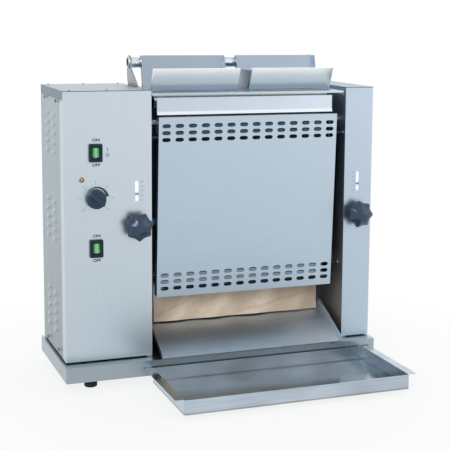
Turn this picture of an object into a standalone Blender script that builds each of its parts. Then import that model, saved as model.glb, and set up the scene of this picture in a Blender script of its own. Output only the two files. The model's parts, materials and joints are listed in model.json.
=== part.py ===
# Vertical contact toaster with two feed columns, a heated platen between two belts and a pull-out tray.
# Metres, +Z up, front towards -Y. The origin is on the floor, in the middle of the footprint.
# Pieces are placed in the bay frame: x from the middle of the open bay between the two housings,
# y back from the housings' front faces, z up from the deck of the base.

import math

import bmesh
import bpy
from mathutils import Matrix, Vector

MM = 0.001
DEGREE = math.pi / 180

# Clearances shared by all pieces
SEAM = 0.3 * MM
RUNNING_GAP = 0.5 * MM
HOLE_PLAY = 0.8 * MM
CUT_OVERRUN = 2 * MM
WELD = 0.001 * MM

# Sheet metal
SHEET = 1.2 * MM
WALL_PLATE = 1.5 * MM
FOLD_RADIUS = 2 * MM
CORNER_RELIEF = 2 * MM

# Housings and bay
LEFT_HOUSING_WIDTH = 152.5 * MM
RIGHT_HOUSING_WIDTH = 55.5 * MM
BAY_WIDTH = 366 * MM
HOUSING_HEIGHT = 468 * MM
HOUSING_DEPTH = 192 * MM
HOUSING_SHADOW_GAP = 2.5 * MM
FRONT_PANEL_RETURN = 26 * MM
LID_FLANGE = 15 * MM
INNER_WALL_FLANGE = 9 * MM

# Base and feet
BASE_LEFT_OVERHANG = 5 * MM
BASE_RIGHT_OVERHANG = 1 * MM
BASE_FRONT_OVERHANG = 25 * MM
BASE_REAR_OVERHANG = 5 * MM
BASE_HEIGHT = 27 * MM
BASE_CORNER_RADIUS = 2 * MM
BASE_RETURN = 50 * MM
BASE_RETURN_CORNER_RADIUS = 1 * MM
FOOT_HEIGHT = 19 * MM
FOOT_RADIUS = 11.5 * MM
FOOT_NECK_RADIUS = 9 * MM
FOOT_RIM = 5.5 * MM
FOOT_NECK_HEIGHT = 8 * MM
FOOT_EDGE = 1.5 * MM
FOOT_STUD_RADIUS = 3 * MM
FOOT_STUD_REACH = 5 * MM
FOOT_INSET_X = 50 * MM
FOOT_INSET_Y = 37 * MM

# Control panel of the left housing, from the outer edge and the deck
ROCKER_X = 54.5 * MM
POWER_ROCKER_Z = 363 * MM
CONVEYOR_ROCKER_Z = 199 * MM
ROCKER_BEZEL_WIDTH = 23 * MM
ROCKER_BEZEL_HEIGHT = 31 * MM
ROCKER_BEZEL_DEPTH = 4 * MM
ROCKER_BODY_MARGIN = 2.3 * MM
ROCKER_BODY_DEPTH = 28 * MM
ROCKER_WIDTH = 11.9 * MM
ROCKER_RADIUS = 9.7 * MM
ROCKER_FACE = 6 * MM
ROCKER_DISH = 1.3 * MM
ROCKER_BACK = 3 * MM
ROCKER_CAVITY_DEPTH = 14 * MM
ROCKER_TILT = 9
LAMP_X = 30.6 * MM
LAMP_Z = 318 * MM
LAMP_RADIUS = 5 * MM
LAMP_NECK_RADIUS = 3.8 * MM
LAMP_DOME = 3 * MM
LAMP_CROWN_RADIUS_SHARE = 0.6
LAMP_CROWN_HEIGHT_SHARE = 0.85
LAMP_RIM_HEIGHT_SHARE = 0.35
LAMP_BODY_DEPTH = 18 * MM
DIAL_X = 54 * MM
DIAL_Z = 285 * MM
DIAL_RADIUS = 16.8 * MM
DIAL_SKIRT = 12 * MM
DIAL_HEIGHT = 19 * MM
DIAL_GRIP_WIDTH = 7.5 * MM
DIAL_EDGE = 1.5 * MM
DIAL_SHAFT_RADIUS = 3 * MM
DIAL_SHAFT_REACH = 10 * MM
DIAL_REST_ANGLE = 42
THERMOSTAT_RADIUS = 17 * MM
THERMOSTAT_DEPTH = 24 * MM
THERMOSTAT_COLLAR_RADIUS = 6 * MM
THERMOSTAT_COLLAR = 3 * MM

# Star knobs, their lead screws and the gap gauges
STAR_FROM_BAY = 26.5 * MM
STAR_Z = 235 * MM
STAR_RADIUS = 25.2 * MM
STAR_SCALLOP = 4 * MM
STAR_LOBES = 7
STAR_LOBE_POINTS = 6
LEFT_STAR_TIP_ANGLE = 270
RIGHT_STAR_TIP_ANGLE = 99.5
STAR_HEAD_BACK = 14 * MM
STAR_HEAD_FRONT = 30.5 * MM
STAR_DOME = 4 * MM
STAR_EDGE = 2.5 * MM
STAR_CAP_SHARE = 0.55
STAR_EDGE_SHARE = 0.9
STAR_HUB_RADIUS = 11 * MM
SCREW_RADIUS = 4 * MM
SCREW_PAST_ARM = 14 * MM
GAUGE_Z = 295 * MM
GAUGE_HEIGHT = 36 * MM
GAUGE_WIDTH = 6 * MM
GAUGE_PLATE_MARGIN = 6 * MM
GAUGE_PLATE_DEPTH = 5 * MM
GAUGE_PLATE_FLANGE = 5 * MM
GAUGE_PLATE_THICKNESS = 0.8 * MM
POINTER_Z = 290 * MM
POINTER_HEIGHT = 7 * MM
POINTER_THICKNESS = 1.5 * MM
POINTER_BAR = 2 * MM

# Heated platen, its element and the release sheets
PLATEN_Y = 77 * MM
PLATEN_THICKNESS = 26 * MM
PLATEN_WIDTH = 310 * MM
PLATEN_BOTTOM = 105 * MM
PLATEN_UNDER_DECK = 31.5 * MM
PLATEN_RIB_THICKNESS = 4 * MM
PLATEN_LUG_THICKNESS = 14 * MM
PLATEN_LUG_HEIGHT = 30 * MM
PLATEN_LUG_SET_IN = 15 * MM
ELEMENT_RADIUS = 4 * MM
ELEMENT_LOW_SET_IN = 75 * MM
ELEMENT_HIGH_SET_IN = 90 * MM
ELEMENT_BEND = 12 * MM
ELEMENT_TAIL = 22 * MM
ELEMENT_BEND_POINTS = 4
SHEET_CLOTH = 0.8 * MM
RELEASE_SHEET_WIDTH = 320 * MM
RELEASE_SHEET_X = -3 * MM
RELEASE_SHEET_TOP_LAP = 8 * MM
RELEASE_SHEET_HANG = 6 * MM
RELEASE_SHEET_SWAY = 6 * MM
RELEASE_SHEET_CREASE = 2.4 * MM
RELEASE_CREASE_PITCH = 75 * MM
RELEASE_CREASE_SLANT = 0.9
CAP_HALF_WIDTH = 16.5 * MM
CAP_ABOVE_PLATEN = 2 * MM
CAP_SKIRT = 13 * MM
CAP_RISE = 13 * MM
CAP_LENGTH = 320 * MM

# Belts, rollers and their frames
LANE_WIDTH = 14.9 * MM
BELT_WIDTH = 306 * MM
BELT_THICKNESS = 1.5 * MM
BELT_RIB = 1.1 * MM
BELT_RIB_PITCH = 20.5 * MM
BELT_RIB_SHARE = 0.4
ROLLER_RADIUS = 9.5 * MM
ROLLER_GAP = 0.4 * MM
DRIVE_AXIS_SET_IN = 22 * MM
IDLER_AXIS_SET_IN = 11 * MM
SHAFT_RADIUS = 5 * MM
SHAFT_WALL_PLAY = 0.4 * MM
FRAME_PLATE = 2 * MM
FRAME_PLATE_DEPTH = 21 * MM
FRAME_PLATE_OVERHANG = 9 * MM
FRAME_SIDE_GAP = 8.5 * MM
BACKING_CLEARANCE = 0.5 * MM
BACKING_DEPTH = 16 * MM
BACKING_SET_IN = 19 * MM
ARM_DEPTH = 12 * MM
ARM_HEIGHT = 10 * MM
ARM_EYE_RADIUS = 9 * MM
ARM_EYE_PLAY = 1.8 * MM
ARM_SLOT_MARGIN = 8 * MM

# Drive train in the left housing
GEAR_MODULE = 2 * MM
GEAR_WIDTH = 8 * MM
GEAR_BACKLASH_SHARE = 0.12
TOOTH_ABOVE_SHARE = 0.8
TOOTH_BELOW_SHARE = 1.1
TOOTH_TIP_SHARE = 0.6
TOOTH_ROOT_SHARE = 1.45
DRIVE_GEAR_TEETH = 24
PINION_TEETH = 12
IDLER_GEAR_TEETH = 20
PINION_ANGLE = 42
GEAR_HUB_RADIUS = 9 * MM
GEAR_HUB = 3 * MM
BOSS_RADIUS = 13 * MM
BOSS_LENGTH = 7 * MM
AXLE_RADIUS = 4 * MM
MOTOR_PLATE = 3 * MM
MOTOR_PLATE_MARGIN = 6 * MM
GEARBOX_DEPTH = 32 * MM
GEARBOX_HALF = 29 * MM
MOTOR_RADIUS = 26 * MM
MOTOR_LENGTH = 62 * MM
MOTOR_OFFSET = 10 * MM
MOTOR_POST_RADIUS = 4 * MM

# Front cover and its pegs
COVER_LEFT_GAP = 13.8 * MM
COVER_RIGHT_GAP = 16.3 * MM
COVER_UNDER_BAND = 3 * MM
COVER_BOTTOM = 100 * MM
COVER_TOP_Y = 1.6 * MM
COVER_BOTTOM_Y = 18.5 * MM
COVER_SIDE_FLANGE = 14 * MM
COVER_TOP_FLANGE = 10 * MM
COVER_BOTTOM_FLANGE = 7 * MM
COVER_LIFT_ANGLE = 50
PEG_RADIUS = 3 * MM
PEG_SEAT = 7 * MM
PEG_HIGH_SET_IN = 35 * MM
PEG_LOW_SET_IN = 40 * MM
PEG_REACH = 2.5 * MM

# Slots of the front cover and the rear cover
SLOT_LENGTH = 15.5 * MM
SLOT_HEIGHT = 5.5 * MM
SLOT_PITCH = 23.7 * MM
SLOT_ROW_PITCH = 12 * MM
SLOT_EDGE = 15.3 * MM
SLOT_COLUMNS = 14
SLOT_ROWS = 3
REAR_SLOT_ROWS = 1
SLOT_ARC_POINTS = 2
REAR_COVER_BOTTOM = 60 * MM
REAR_COVER_FLANGE = 10 * MM

# Louvres of the left side cover
LOUVRE_LENGTH = 19 * MM
LOUVRE_HEIGHT = 7 * MM
LOUVRE_PROUD = 2.4 * MM
LOUVRE_SKIN = 0.9 * MM
LOUVRE_LIP = 1.4 * MM
LOUVRE_PITCH = 16.3 * MM
LOUVRE_HIGH_DROP = 45 * MM
LOUVRE_LOW_Z = 108.3 * MM
LOUVRE_MIDDLE_SHARE = 0.515
LOUVRE_COLUMN_Y = 83 * MM
LOUVRE_COLUMN_PITCH = 54 * MM
LOUVRE_COLUMNS = 2
LOUVRES_IN_COLUMN = 5

# Upper band, deck and feeder
BAND_HALF_WIDTH = 166 * MM
BAND_X = -2 * MM
BAND_Y = 18.5 * MM
BAND_UNDER_DECK = 8.5 * MM
BAND_HEIGHT = 30 * MM
BAND_LIP = 5.5 * MM
BAND_DEPTH = 23.5 * MM
BAND_HANGER = 12 * MM
DECK_FRONT_Y = 5 * MM
DECK_REAR_MARGIN = 9 * MM
DECK_UNDER_LID = 6.5 * MM
DECK_FRONT_LIP = 4 * MM
DECK_SIDE_LIP = 8 * MM
MOUTH_HALF_DEPTH = 30.5 * MM
MOUTH_INNER_X = 12.5 * MM
MOUTH_OUTER_X = 160 * MM
MOUTH_CORNER_RADIUS = 3 * MM
CORNER_POINTS = 3
FEEDER_INNER_X = 11 * MM
FEEDER_OUTER_X = 169.5 * MM
FEEDER_FRAME_FRONT = 32 * MM
FEEDER_FRAME_REAR = 114 * MM
FLAP_FOOT_Y = 45 * MM
FLAP_LEAN = 18 * MM
FLAP_RISE = 40.5 * MM
PLATE_FOOT_Y = 109 * MM
PLATE_LEAN = 14 * MM
PLATE_RISE = 60 * MM
FEEDER_FLANGE = 10 * MM
FEEDER_FIN_RISE = 36.5 * MM
FEEDER_FIN_MARGIN = 3 * MM

# Rod over the housings
ROD_RADIUS = 10.7 * MM
ROD_BORE_RADIUS = 7.4 * MM
ROD_ABOVE_LID = 41.5 * MM
ROD_LEFT_REACH = 7 * MM
ROD_RIGHT_SET_IN = 13 * MM
ROD_END_EDGE = 0.8 * MM
ARM_PLATE = 3 * MM
ARM_HEAD_WALL = 1.6 * MM
ARM_TOE_Y = 74 * MM
ARM_TAIL = 6 * MM
ARM_TAB_MARGIN = 6 * MM
ARM_TAB_DROP = 28 * MM
RIGHT_ARM_SET_IN = 16 * MM
RIGHT_ARM_FOOT = 8 * MM
RIGHT_ARM_HEEL = 7 * MM
ARM_HEAD_POINTS = 10

# Chute and tray
CHUTE_HALF_WIDTH = 172 * MM
CHUTE_FRONT_Z = 1.8 * MM
CHUTE_REAR_Y = 172 * MM
CHUTE_REAR_Z = 84 * MM
CHUTE_BOW_SHARE = 0.25
CHUTE_STEPS = 9
CHUTE_CHEEK = 9 * MM
TRAY_LEFT_LAP = 8.5 * MM
TRAY_RIGHT_LAP = 30.5 * MM
TRAY_DEPTH = 184 * MM
TRAY_WALL = 25 * MM
TRAY_RIM_Z = -12 * MM
TRAY_GAP = 5 * MM
TRAY_RIM = 14 * MM
TRAY_CORNER_RADIUS = 5 * MM
TRAY_TONGUE = 70 * MM
TRAY_SLOT_PLAY = 0.6 * MM
TRAY_GUIDE_DEPTH = 25 * MM

# Inlet gland and terminal block
GLAND_X = 75 * MM
GLAND_Z = 60 * MM
GLAND_RADIUS = 12 * MM
GLAND_NECK_RADIUS = 10 * MM
GLAND_BORE_RADIUS = 5.5 * MM
GLAND_REACH = 20 * MM
GLAND_HEX = 7 * MM
GLAND_SHANK_RADIUS = 9.5 * MM
GLAND_SHANK = 10 * MM
GLAND_NUT_RADIUS = 13 * MM
GLAND_NUT = 5 * MM
TERMINAL_WIDTH = 60 * MM
TERMINAL_DEPTH = 20 * MM
TERMINAL_HEIGHT = 16 * MM
TERMINAL_WAYS = 5
TERMINAL_GROOVE = 6 * MM
TERMINAL_FROM_REAR = 42 * MM

# Smoothness of round pieces, as counts of sides
ROUND_SIDES = 16
FINE_SIDES = 24

# Pieces with round faces, by the ends of their names, and the edge angle that stays sharp
ROUND_PIECES = ("knob", "dial", "belt", "inner_wall", "motor", "pinion", "gear", "conveyor_frame", "thermostat")
SMOOTH_ANGLE = 36

# Places worked out from the sizes above
BAY_HALF = BAY_WIDTH / 2
LEFT_OUTER = -BAY_HALF - LEFT_HOUSING_WIDTH
RIGHT_OUTER = BAY_HALF + RIGHT_HOUSING_WIDTH
BASE_LEFT = LEFT_OUTER - BASE_LEFT_OVERHANG
BASE_RIGHT = RIGHT_OUTER + BASE_RIGHT_OVERHANG
BASE_REAR_Y = HOUSING_DEPTH + BASE_REAR_OVERHANG
TRAY_LEFT = -BAY_HALF - TRAY_LEFT_LAP
TRAY_RIGHT = BAY_HALF + TRAY_RIGHT_LAP
TRAY_REAR_Y = -BASE_FRONT_OVERHANG - TRAY_GAP
TRAY_FRONT_Y = TRAY_REAR_Y - TRAY_DEPTH
GLAND_END_Y = HOUSING_DEPTH + GLAND_REACH
MACHINE_PLACE = Vector((
    -(BASE_LEFT + BASE_RIGHT) / 2,
    -(TRAY_FRONT_Y + GLAND_END_Y) / 2,
    FOOT_HEIGHT + BASE_HEIGHT,
))
PANEL_TOP = HOUSING_HEIGHT - SHEET - SEAM
WALL_FRONT_Y = SHEET + SEAM
WALL_REAR_Y = HOUSING_DEPTH - SHEET - SEAM
STAR_X = BAY_HALF + STAR_FROM_BAY
DECK_TOP = HOUSING_HEIGHT - DECK_UNDER_LID
DECK_UNDERSIDE = DECK_TOP - SHEET
PLATEN_TOP = DECK_TOP - PLATEN_UNDER_DECK
PLATEN_FRONT_Y = PLATEN_Y - PLATEN_THICKNESS / 2
PLATEN_REAR_Y = PLATEN_Y + PLATEN_THICKNESS / 2
ELEMENT_LOW_Z = PLATEN_BOTTOM + ELEMENT_LOW_SET_IN
ELEMENT_HIGH_Z = PLATEN_TOP - ELEMENT_HIGH_SET_IN
RELEASE_SHEET_TOP = PLATEN_TOP + RELEASE_SHEET_TOP_LAP
CAP_SKIRT_BOTTOM = PLATEN_TOP + CAP_ABOVE_PLATEN
CAP_SHOULDER = CAP_SKIRT_BOTTOM + CAP_SKIRT
CAP_RIDGE = CAP_SHOULDER + CAP_RISE
DRIVE_Z = PLATEN_TOP - DRIVE_AXIS_SET_IN
IDLER_Z = PLATEN_BOTTOM + IDLER_AXIS_SET_IN
BELT_INNER_RADIUS = ROLLER_RADIUS + ROLLER_GAP
BELT_OUTER_RADIUS = BELT_INNER_RADIUS + BELT_THICKNESS + BELT_RIB
LANE_TO_AXIS = SEAM + SHEET_CLOTH + LANE_WIDTH + BELT_OUTER_RADIUS
FRONT_AXIS_Y = PLATEN_FRONT_Y - LANE_TO_AXIS
REAR_AXIS_Y = PLATEN_REAR_Y + LANE_TO_AXIS
FRAME_INNER_X = BELT_WIDTH / 2 + FRAME_SIDE_GAP
FRAME_OUTER_X = FRAME_INNER_X + FRAME_PLATE
FEEDER_BASE_Z = DECK_TOP + SEAM
FEEDER_FLOOR_Z = FEEDER_BASE_Z + SHEET
BAND_TOP = DECK_TOP - BAND_UNDER_DECK
BAND_BOTTOM = BAND_TOP - BAND_HEIGHT
COVER_TOP = BAND_BOTTOM - COVER_UNDER_BAND
PEG_HIGH_Z = COVER_TOP - PEG_HIGH_SET_IN
PEG_LOW_Z = COVER_BOTTOM + PEG_LOW_SET_IN
FLAP_TOP = DECK_TOP + FLAP_RISE
PLATE_TOP = DECK_TOP + PLATE_RISE
FEEDER_FIN_TOP = DECK_TOP + FEEDER_FIN_RISE
ROD_Z = HOUSING_HEIGHT + ROD_ABOVE_LID
PLATE_SLOPE = PLATE_LEAN / (PLATE_TOP - FEEDER_FLOOR_Z)
ARM_HEAD_RADIUS = ROD_RADIUS + SEAM + ARM_HEAD_WALL
LEFT_ARM_X = BAY_HALF + WALL_PLATE + SEAM
ROD_FROM_PLATE = (ROD_RADIUS + SEAM) * math.sqrt(1 + PLATE_SLOPE ** 2)
ROD_Y = PLATE_FOOT_Y + PLATE_SLOPE * (ROD_Z - FEEDER_FLOOR_Z) + ROD_FROM_PLATE
DRIVE_GEAR_RADIUS = GEAR_MODULE * DRIVE_GEAR_TEETH / 2
PINION_RADIUS = GEAR_MODULE * PINION_TEETH / 2
IDLER_GEAR_RADIUS = GEAR_MODULE * IDLER_GEAR_TEETH / 2
GEAR_HIGH_X = -BAY_HALF - WALL_PLATE - BOSS_LENGTH - GEAR_HUB - RUNNING_GAP
GEAR_LOW_X = GEAR_HIGH_X - GEAR_WIDTH
MOTOR_PLATE_X = GEAR_LOW_X - GEAR_HUB - RUNNING_GAP

scene_collection = bpy.context.scene.collection


def start_clean():
    for old in list(bpy.data.objects):
        bpy.data.objects.remove(old, do_unlink=True)


def make_collection(name):
    made = bpy.data.collections.new(name)
    scene_collection.children.link(made)
    return made


def make_material(name, colour, roughness, metallic):
    made = bpy.data.materials.new(name)
    made.use_nodes = True
    shader = made.node_tree.nodes["Principled BSDF"]
    shader.inputs["Base Color"].default_value = (*colour, 1.0)
    shader.inputs["Roughness"].default_value = roughness
    shader.inputs["Metallic"].default_value = metallic
    made.diffuse_color = (*colour, 1.0)
    return made


# Shapes, each a mesh in the frame of the piece that it becomes


def finished_mesh(bm, name):
    mesh = bpy.data.meshes.new(name)
    bm.to_mesh(mesh)
    bm.free()
    return mesh


def box(low, high):
    bm = bmesh.new()
    bmesh.ops.create_cube(bm, size=1)
    low = Vector(low)
    high = Vector(high)
    bmesh.ops.scale(bm, vec=high - low, verts=bm.verts)
    bmesh.ops.translate(bm, vec=(low + high) / 2, verts=bm.verts)
    return finished_mesh(bm, "box")


def rod_along(axis, centre, low, high, radius, sides=ROUND_SIDES):
    """A cylinder along X, Y or Z, from low to high on that axis."""
    bm = bmesh.new()
    bmesh.ops.create_cone(bm, cap_ends=True, segments=sides, radius1=radius, radius2=radius, depth=high - low)
    turn = {"X": Matrix.Rotation(math.pi / 2, 4, "Y"), "Y": Matrix.Rotation(-math.pi / 2, 4, "X"), "Z": Matrix()}
    bmesh.ops.transform(bm, matrix=turn[axis], verts=bm.verts)
    place = Vector(centre)
    place["XYZ".index(axis)] = (low + high) / 2
    bmesh.ops.translate(bm, vec=place, verts=bm.verts)
    return finished_mesh(bm, "rod")


def flat_shape(loops, plane, low, high):
    """Outlines in XY, XZ or YZ given a thickness from low to high on the third axis."""
    curve = bpy.data.curves.new("outline", "CURVE")
    curve.dimensions = "2D"
    curve.fill_mode = "BOTH"
    curve.extrude = (high - low) / 2
    for loop in loops:
        spline = curve.splines.new("POLY")
        spline.points.add(len(loop) - 1)
        for point, (u, v) in zip(spline.points, loop):
            point.co = (u, v, 0, 1)
        spline.use_cyclic_u = True
    carrier = bpy.data.objects.new("outline", curve)
    scene_collection.objects.link(carrier)
    bpy.context.view_layer.update()
    evaluated = carrier.evaluated_get(bpy.context.evaluated_depsgraph_get())
    bm = bmesh.new()
    bm.from_mesh(bpy.data.meshes.new_from_object(evaluated))
    bpy.data.objects.remove(carrier, do_unlink=True)
    bmesh.ops.remove_doubles(bm, verts=bm.verts, dist=WELD)
    middle = (low + high) / 2
    turns = {
        "XY": Matrix.Translation((0, 0, middle)),
        "XZ": Matrix.Translation((0, middle, 0)) @ Matrix.Rotation(math.pi / 2, 4, "X"),
        "YZ": Matrix(((0, 0, 1, middle), (1, 0, 0, 0), (0, 1, 0, 0), (0, 0, 0, 1))),
    }
    bmesh.ops.transform(bm, matrix=turns[plane], verts=bm.verts)
    bmesh.ops.recalc_face_normals(bm, faces=bm.faces)
    return finished_mesh(bm, "flat_shape")


def loft(sections, closed=False, first_cap=False, last_cap=False):
    """Faces between sections of equal point counts."""
    bm = bmesh.new()
    rings = [[bm.verts.new(point) for point in section] for section in sections]
    count = len(rings[0])
    for lower, upper in zip(rings, rings[1:]):
        for i in range(count if closed else count - 1):
            j = (i + 1) % count
            bm.faces.new((lower[i], lower[j], upper[j], upper[i]))
    if first_cap:
        bm.faces.new(list(reversed(rings[0])))
    if last_cap:
        bm.faces.new(rings[-1])
    return finished_mesh(bm, "loft")


def strip(points, sweep):
    """An open polyline swept along a vector, to be given a wall by Solidify."""
    return loft([points, [Vector(point) + Vector(sweep) for point in points]])


def folded_panel(corners, flanges):
    """A flat panel with relieved corners and a flange on the edges named by number."""
    bm = bmesh.new()
    corners = [Vector(corner) for corner in corners]
    rim = []
    bends = []
    for i, corner in enumerate(corners):
        following = corners[(i + 1) % len(corners)]
        along = (following - corner).normalized() * CORNER_RELIEF
        rim.append(bm.verts.new(corner))
        if i in flanges:
            near = bm.verts.new(corner + along)
            far = bm.verts.new(following - along)
            rim += [near, far]
            bends.append((near, far, Vector(flanges[i])))
    bm.faces.new(rim)
    for near, far, reach in bends:
        outer_near = bm.verts.new(near.co + reach)
        outer_far = bm.verts.new(far.co + reach)
        bm.faces.new((far, near, outer_near, outer_far))
    return finished_mesh(bm, "folded_panel")


def arc(centre, radius, start, end, steps):
    """Points on an arc in the plane, from start to end in degrees."""
    points = []
    for i in range(steps + 1):
        angle = (start + (end - start) * i / steps) * DEGREE
        points.append((centre[0] + radius * math.cos(angle), centre[1] + radius * math.sin(angle)))
    return points


def rounded_rectangle(low, high, radius, steps=CORNER_POINTS):
    left, bottom = low
    right, top = high
    points = arc((left + radius, bottom + radius), radius, 180, 270, steps)
    points += arc((right - radius, bottom + radius), radius, 270, 360, steps)
    points += arc((right - radius, top - radius), radius, 0, 90, steps)
    points += arc((left + radius, top - radius), radius, 90, 180, steps)
    return points


def oblong(centre, length, width, steps=SLOT_ARC_POINTS, turn=0):
    """A slot outline with round ends, its length turned from the first axis by an angle in degrees."""
    half = (length - width) / 2
    along = (math.cos(turn * DEGREE) * half, math.sin(turn * DEGREE) * half)
    ahead = (centre[0] + along[0], centre[1] + along[1])
    behind = (centre[0] - along[0], centre[1] - along[1])
    points = arc(ahead, width / 2, turn - 90, turn + 90, steps)
    points += arc(behind, width / 2, turn + 90, turn + 270, steps)
    return points


def rounded_corner(before, corner, after, radius, steps=CORNER_POINTS):
    """The corner of a plan polyline replaced by an arc of this radius, for a square corner."""
    before = Vector(before)
    corner = Vector(corner)
    after = Vector(after)
    back = (before - corner).normalized() * radius
    ahead = (after - corner).normalized() * radius
    centre = corner + back + ahead
    points = []
    for i in range(steps + 1):
        angle = math.pi / 2 * i / steps
        points.append(centre - ahead * math.cos(angle) - back * math.sin(angle))
    return points


# Objects, with their modifiers


class Workshop:
    """Makes the objects of the toaster in its collection, all under one empty on the deck."""

    def __init__(self):
        self.parts = make_collection("vertical_contact_toaster")
        self.cutters = make_collection("cutters")
        self.bay_frame = bpy.data.objects.new("bay_frame", None)
        self.bay_frame.location = MACHINE_PLACE
        self.parts.objects.link(self.bay_frame)
        self.materials = {}

    def add_material(self, name, colour, roughness, metallic):
        self.materials[name] = make_material(name, colour, roughness, metallic)

    def part(self, name, mesh, material, origin=(0, 0, 0), parent=None):
        mesh.name = name
        made = bpy.data.objects.new(name, mesh)
        made.location = origin
        made.parent = parent or self.bay_frame
        made.data.materials.append(self.materials[material])
        self.parts.objects.link(made)
        return made

    def tool(self, name, meshes, origin=(0, 0, 0), parent=None):
        """A hidden solid that cuts or joins, from meshes that don't overlap each other."""
        bm = bmesh.new()
        for mesh in meshes:
            bm.from_mesh(mesh)
            bpy.data.meshes.remove(mesh)
        made = bpy.data.objects.new(name, finished_mesh(bm, name))
        made.location = origin
        made.parent = parent or self.bay_frame
        made.hide_render = True
        made.display_type = "WIRE"
        self.cutters.objects.link(made)
        return made

    def boolean(self, part, operation, meshes, origin=(0, 0, 0), parent=None):
        name = part.name + "_" + operation.lower() + str(len(part.modifiers))
        modifier = part.modifiers.new(name, "BOOLEAN")
        modifier.operation = operation
        modifier.solver = "EXACT"
        modifier.object = self.tool(name, meshes, origin, parent)

    def cut(self, part, meshes, origin=(0, 0, 0), parent=None):
        self.boolean(part, "DIFFERENCE", meshes, origin, parent)

    def join(self, part, meshes, origin=(0, 0, 0), parent=None):
        """Joins each mesh by a union of its own, since the added meshes may meet each other."""
        for mesh in meshes:
            self.boolean(part, "UNION", [mesh], origin, parent)

    def wall(self, part, thickness, offset=-1):
        modifier = part.modifiers.new("wall", "SOLIDIFY")
        modifier.thickness = thickness
        modifier.offset = offset
        modifier.solidify_mode = "NON_MANIFOLD"
        modifier.nonmanifold_thickness_mode = "CONSTRAINTS"
        modifier.nonmanifold_boundary_mode = "NONE"
        modifier.nonmanifold_merge_threshold = WELD
        modifier.use_rim = True

    def turned(self, name, profile, material, origin, rotation=(0, 0, 0), sides=ROUND_SIDES, parent=None):
        """A turned piece: a profile of radius and height, from the top down its outer side."""
        mesh = bpy.data.meshes.new(name)
        points = [(radius, 0, height) for radius, height in profile]
        mesh.from_pydata(points, [(i, i + 1) for i in range(len(points) - 1)], [])
        made = self.part(name, mesh, material, origin, parent)
        made.rotation_euler = rotation
        screw = made.modifiers.new("turn", "SCREW")
        screw.axis = "Z"
        screw.steps = sides
        screw.render_steps = sides
        screw.use_merge_vertices = True
        screw.merge_threshold = WELD
        return made


start_clean()
shop = Workshop()


def add_materials():
    shop.add_material("stainless", (0.62, 0.68, 0.72), 0.32, 1.0)
    shop.add_material("dark_steel", (0.16, 0.19, 0.22), 0.45, 1.0)
    shop.add_material("aluminium", (0.70, 0.71, 0.72), 0.40, 1.0)
    shop.add_material("chrome", (0.80, 0.82, 0.84), 0.08, 1.0)
    shop.add_material("gear_steel", (0.45, 0.46, 0.47), 0.35, 1.0)
    shop.add_material("black_plastic", (0.03, 0.035, 0.045), 0.35, 0.0)
    shop.add_material("black_rubber", (0.02, 0.02, 0.022), 0.80, 0.0)
    shop.add_material("belt_rubber", (0.30, 0.10, 0.06), 0.70, 0.0)
    shop.add_material("green_lens", (0.08, 0.45, 0.12), 0.20, 0.0)
    shop.add_material("amber_lens", (0.75, 0.33, 0.05), 0.20, 0.0)
    shop.add_material("white_plate", (0.90, 0.91, 0.90), 0.50, 0.0)
    shop.add_material("dark_pointer", (0.05, 0.05, 0.06), 0.45, 0.0)
    shop.add_material("release_cloth", (0.55, 0.40, 0.26), 0.55, 0.0)
    shop.add_material("motor_grey", (0.25, 0.27, 0.29), 0.50, 0.6)
    shop.add_material("terminal_cream", (0.80, 0.76, 0.62), 0.55, 0.0)


# Base and feet


def make_base():
    low = (BASE_LEFT, -BASE_FRONT_OVERHANG)
    high = (BASE_RIGHT, BASE_REAR_Y)
    outline = rounded_rectangle(low, high, BASE_CORNER_RADIUS)
    inset_low = (low[0] + BASE_RETURN, low[1] + BASE_RETURN)
    inset_high = (high[0] - BASE_RETURN, high[1] - BASE_RETURN)
    inset = rounded_rectangle(inset_low, inset_high, BASE_RETURN_CORNER_RADIUS)
    sections = [
        [(x, y, -BASE_HEIGHT) for x, y in inset],
        [(x, y, -BASE_HEIGHT) for x, y in outline],
        [(x, y, 0) for x, y in outline],
    ]
    base = shop.part("base_plinth", loft(sections, closed=True, last_cap=True), "stainless")
    shop.wall(base, WALL_PLATE)
    guides = []
    slots = []
    for low_x, high_x in tray_tongue_spans():
        guide_low_z = TRAY_RIM_Z + SEAM
        guide_high_y = TRAY_REAR_Y + TRAY_TONGUE
        guides.append(box(
            (low_x, guide_high_y - TRAY_GUIDE_DEPTH, guide_low_z),
            (high_x, guide_high_y, -WALL_PLATE / 2),
        ))
        slots.append(box(
            (low_x - TRAY_SLOT_PLAY, -BASE_FRONT_OVERHANG - CUT_OVERRUN, TRAY_RIM_Z - SHEET - TRAY_SLOT_PLAY),
            (high_x + TRAY_SLOT_PLAY, -BASE_FRONT_OVERHANG + CUT_OVERRUN, TRAY_RIM_Z + TRAY_SLOT_PLAY),
        ))
    for x, y in foot_places():
        slots.append(rod_along(
            "Z", (x, y, 0), -BASE_HEIGHT - CUT_OVERRUN, -BASE_HEIGHT + CUT_OVERRUN + WALL_PLATE,
            FOOT_STUD_RADIUS + HOLE_PLAY,
        ))
    shop.join(base, guides)
    shop.cut(base, slots)


def foot_places():
    """Front left, front right, rear left and rear right."""
    xs = (BASE_LEFT + FOOT_INSET_X, BASE_RIGHT - FOOT_INSET_X)
    ys = (-BASE_FRONT_OVERHANG + FOOT_INSET_Y, BASE_REAR_Y - FOOT_INSET_Y)
    return [(x, y) for y in ys for x in xs]


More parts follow.
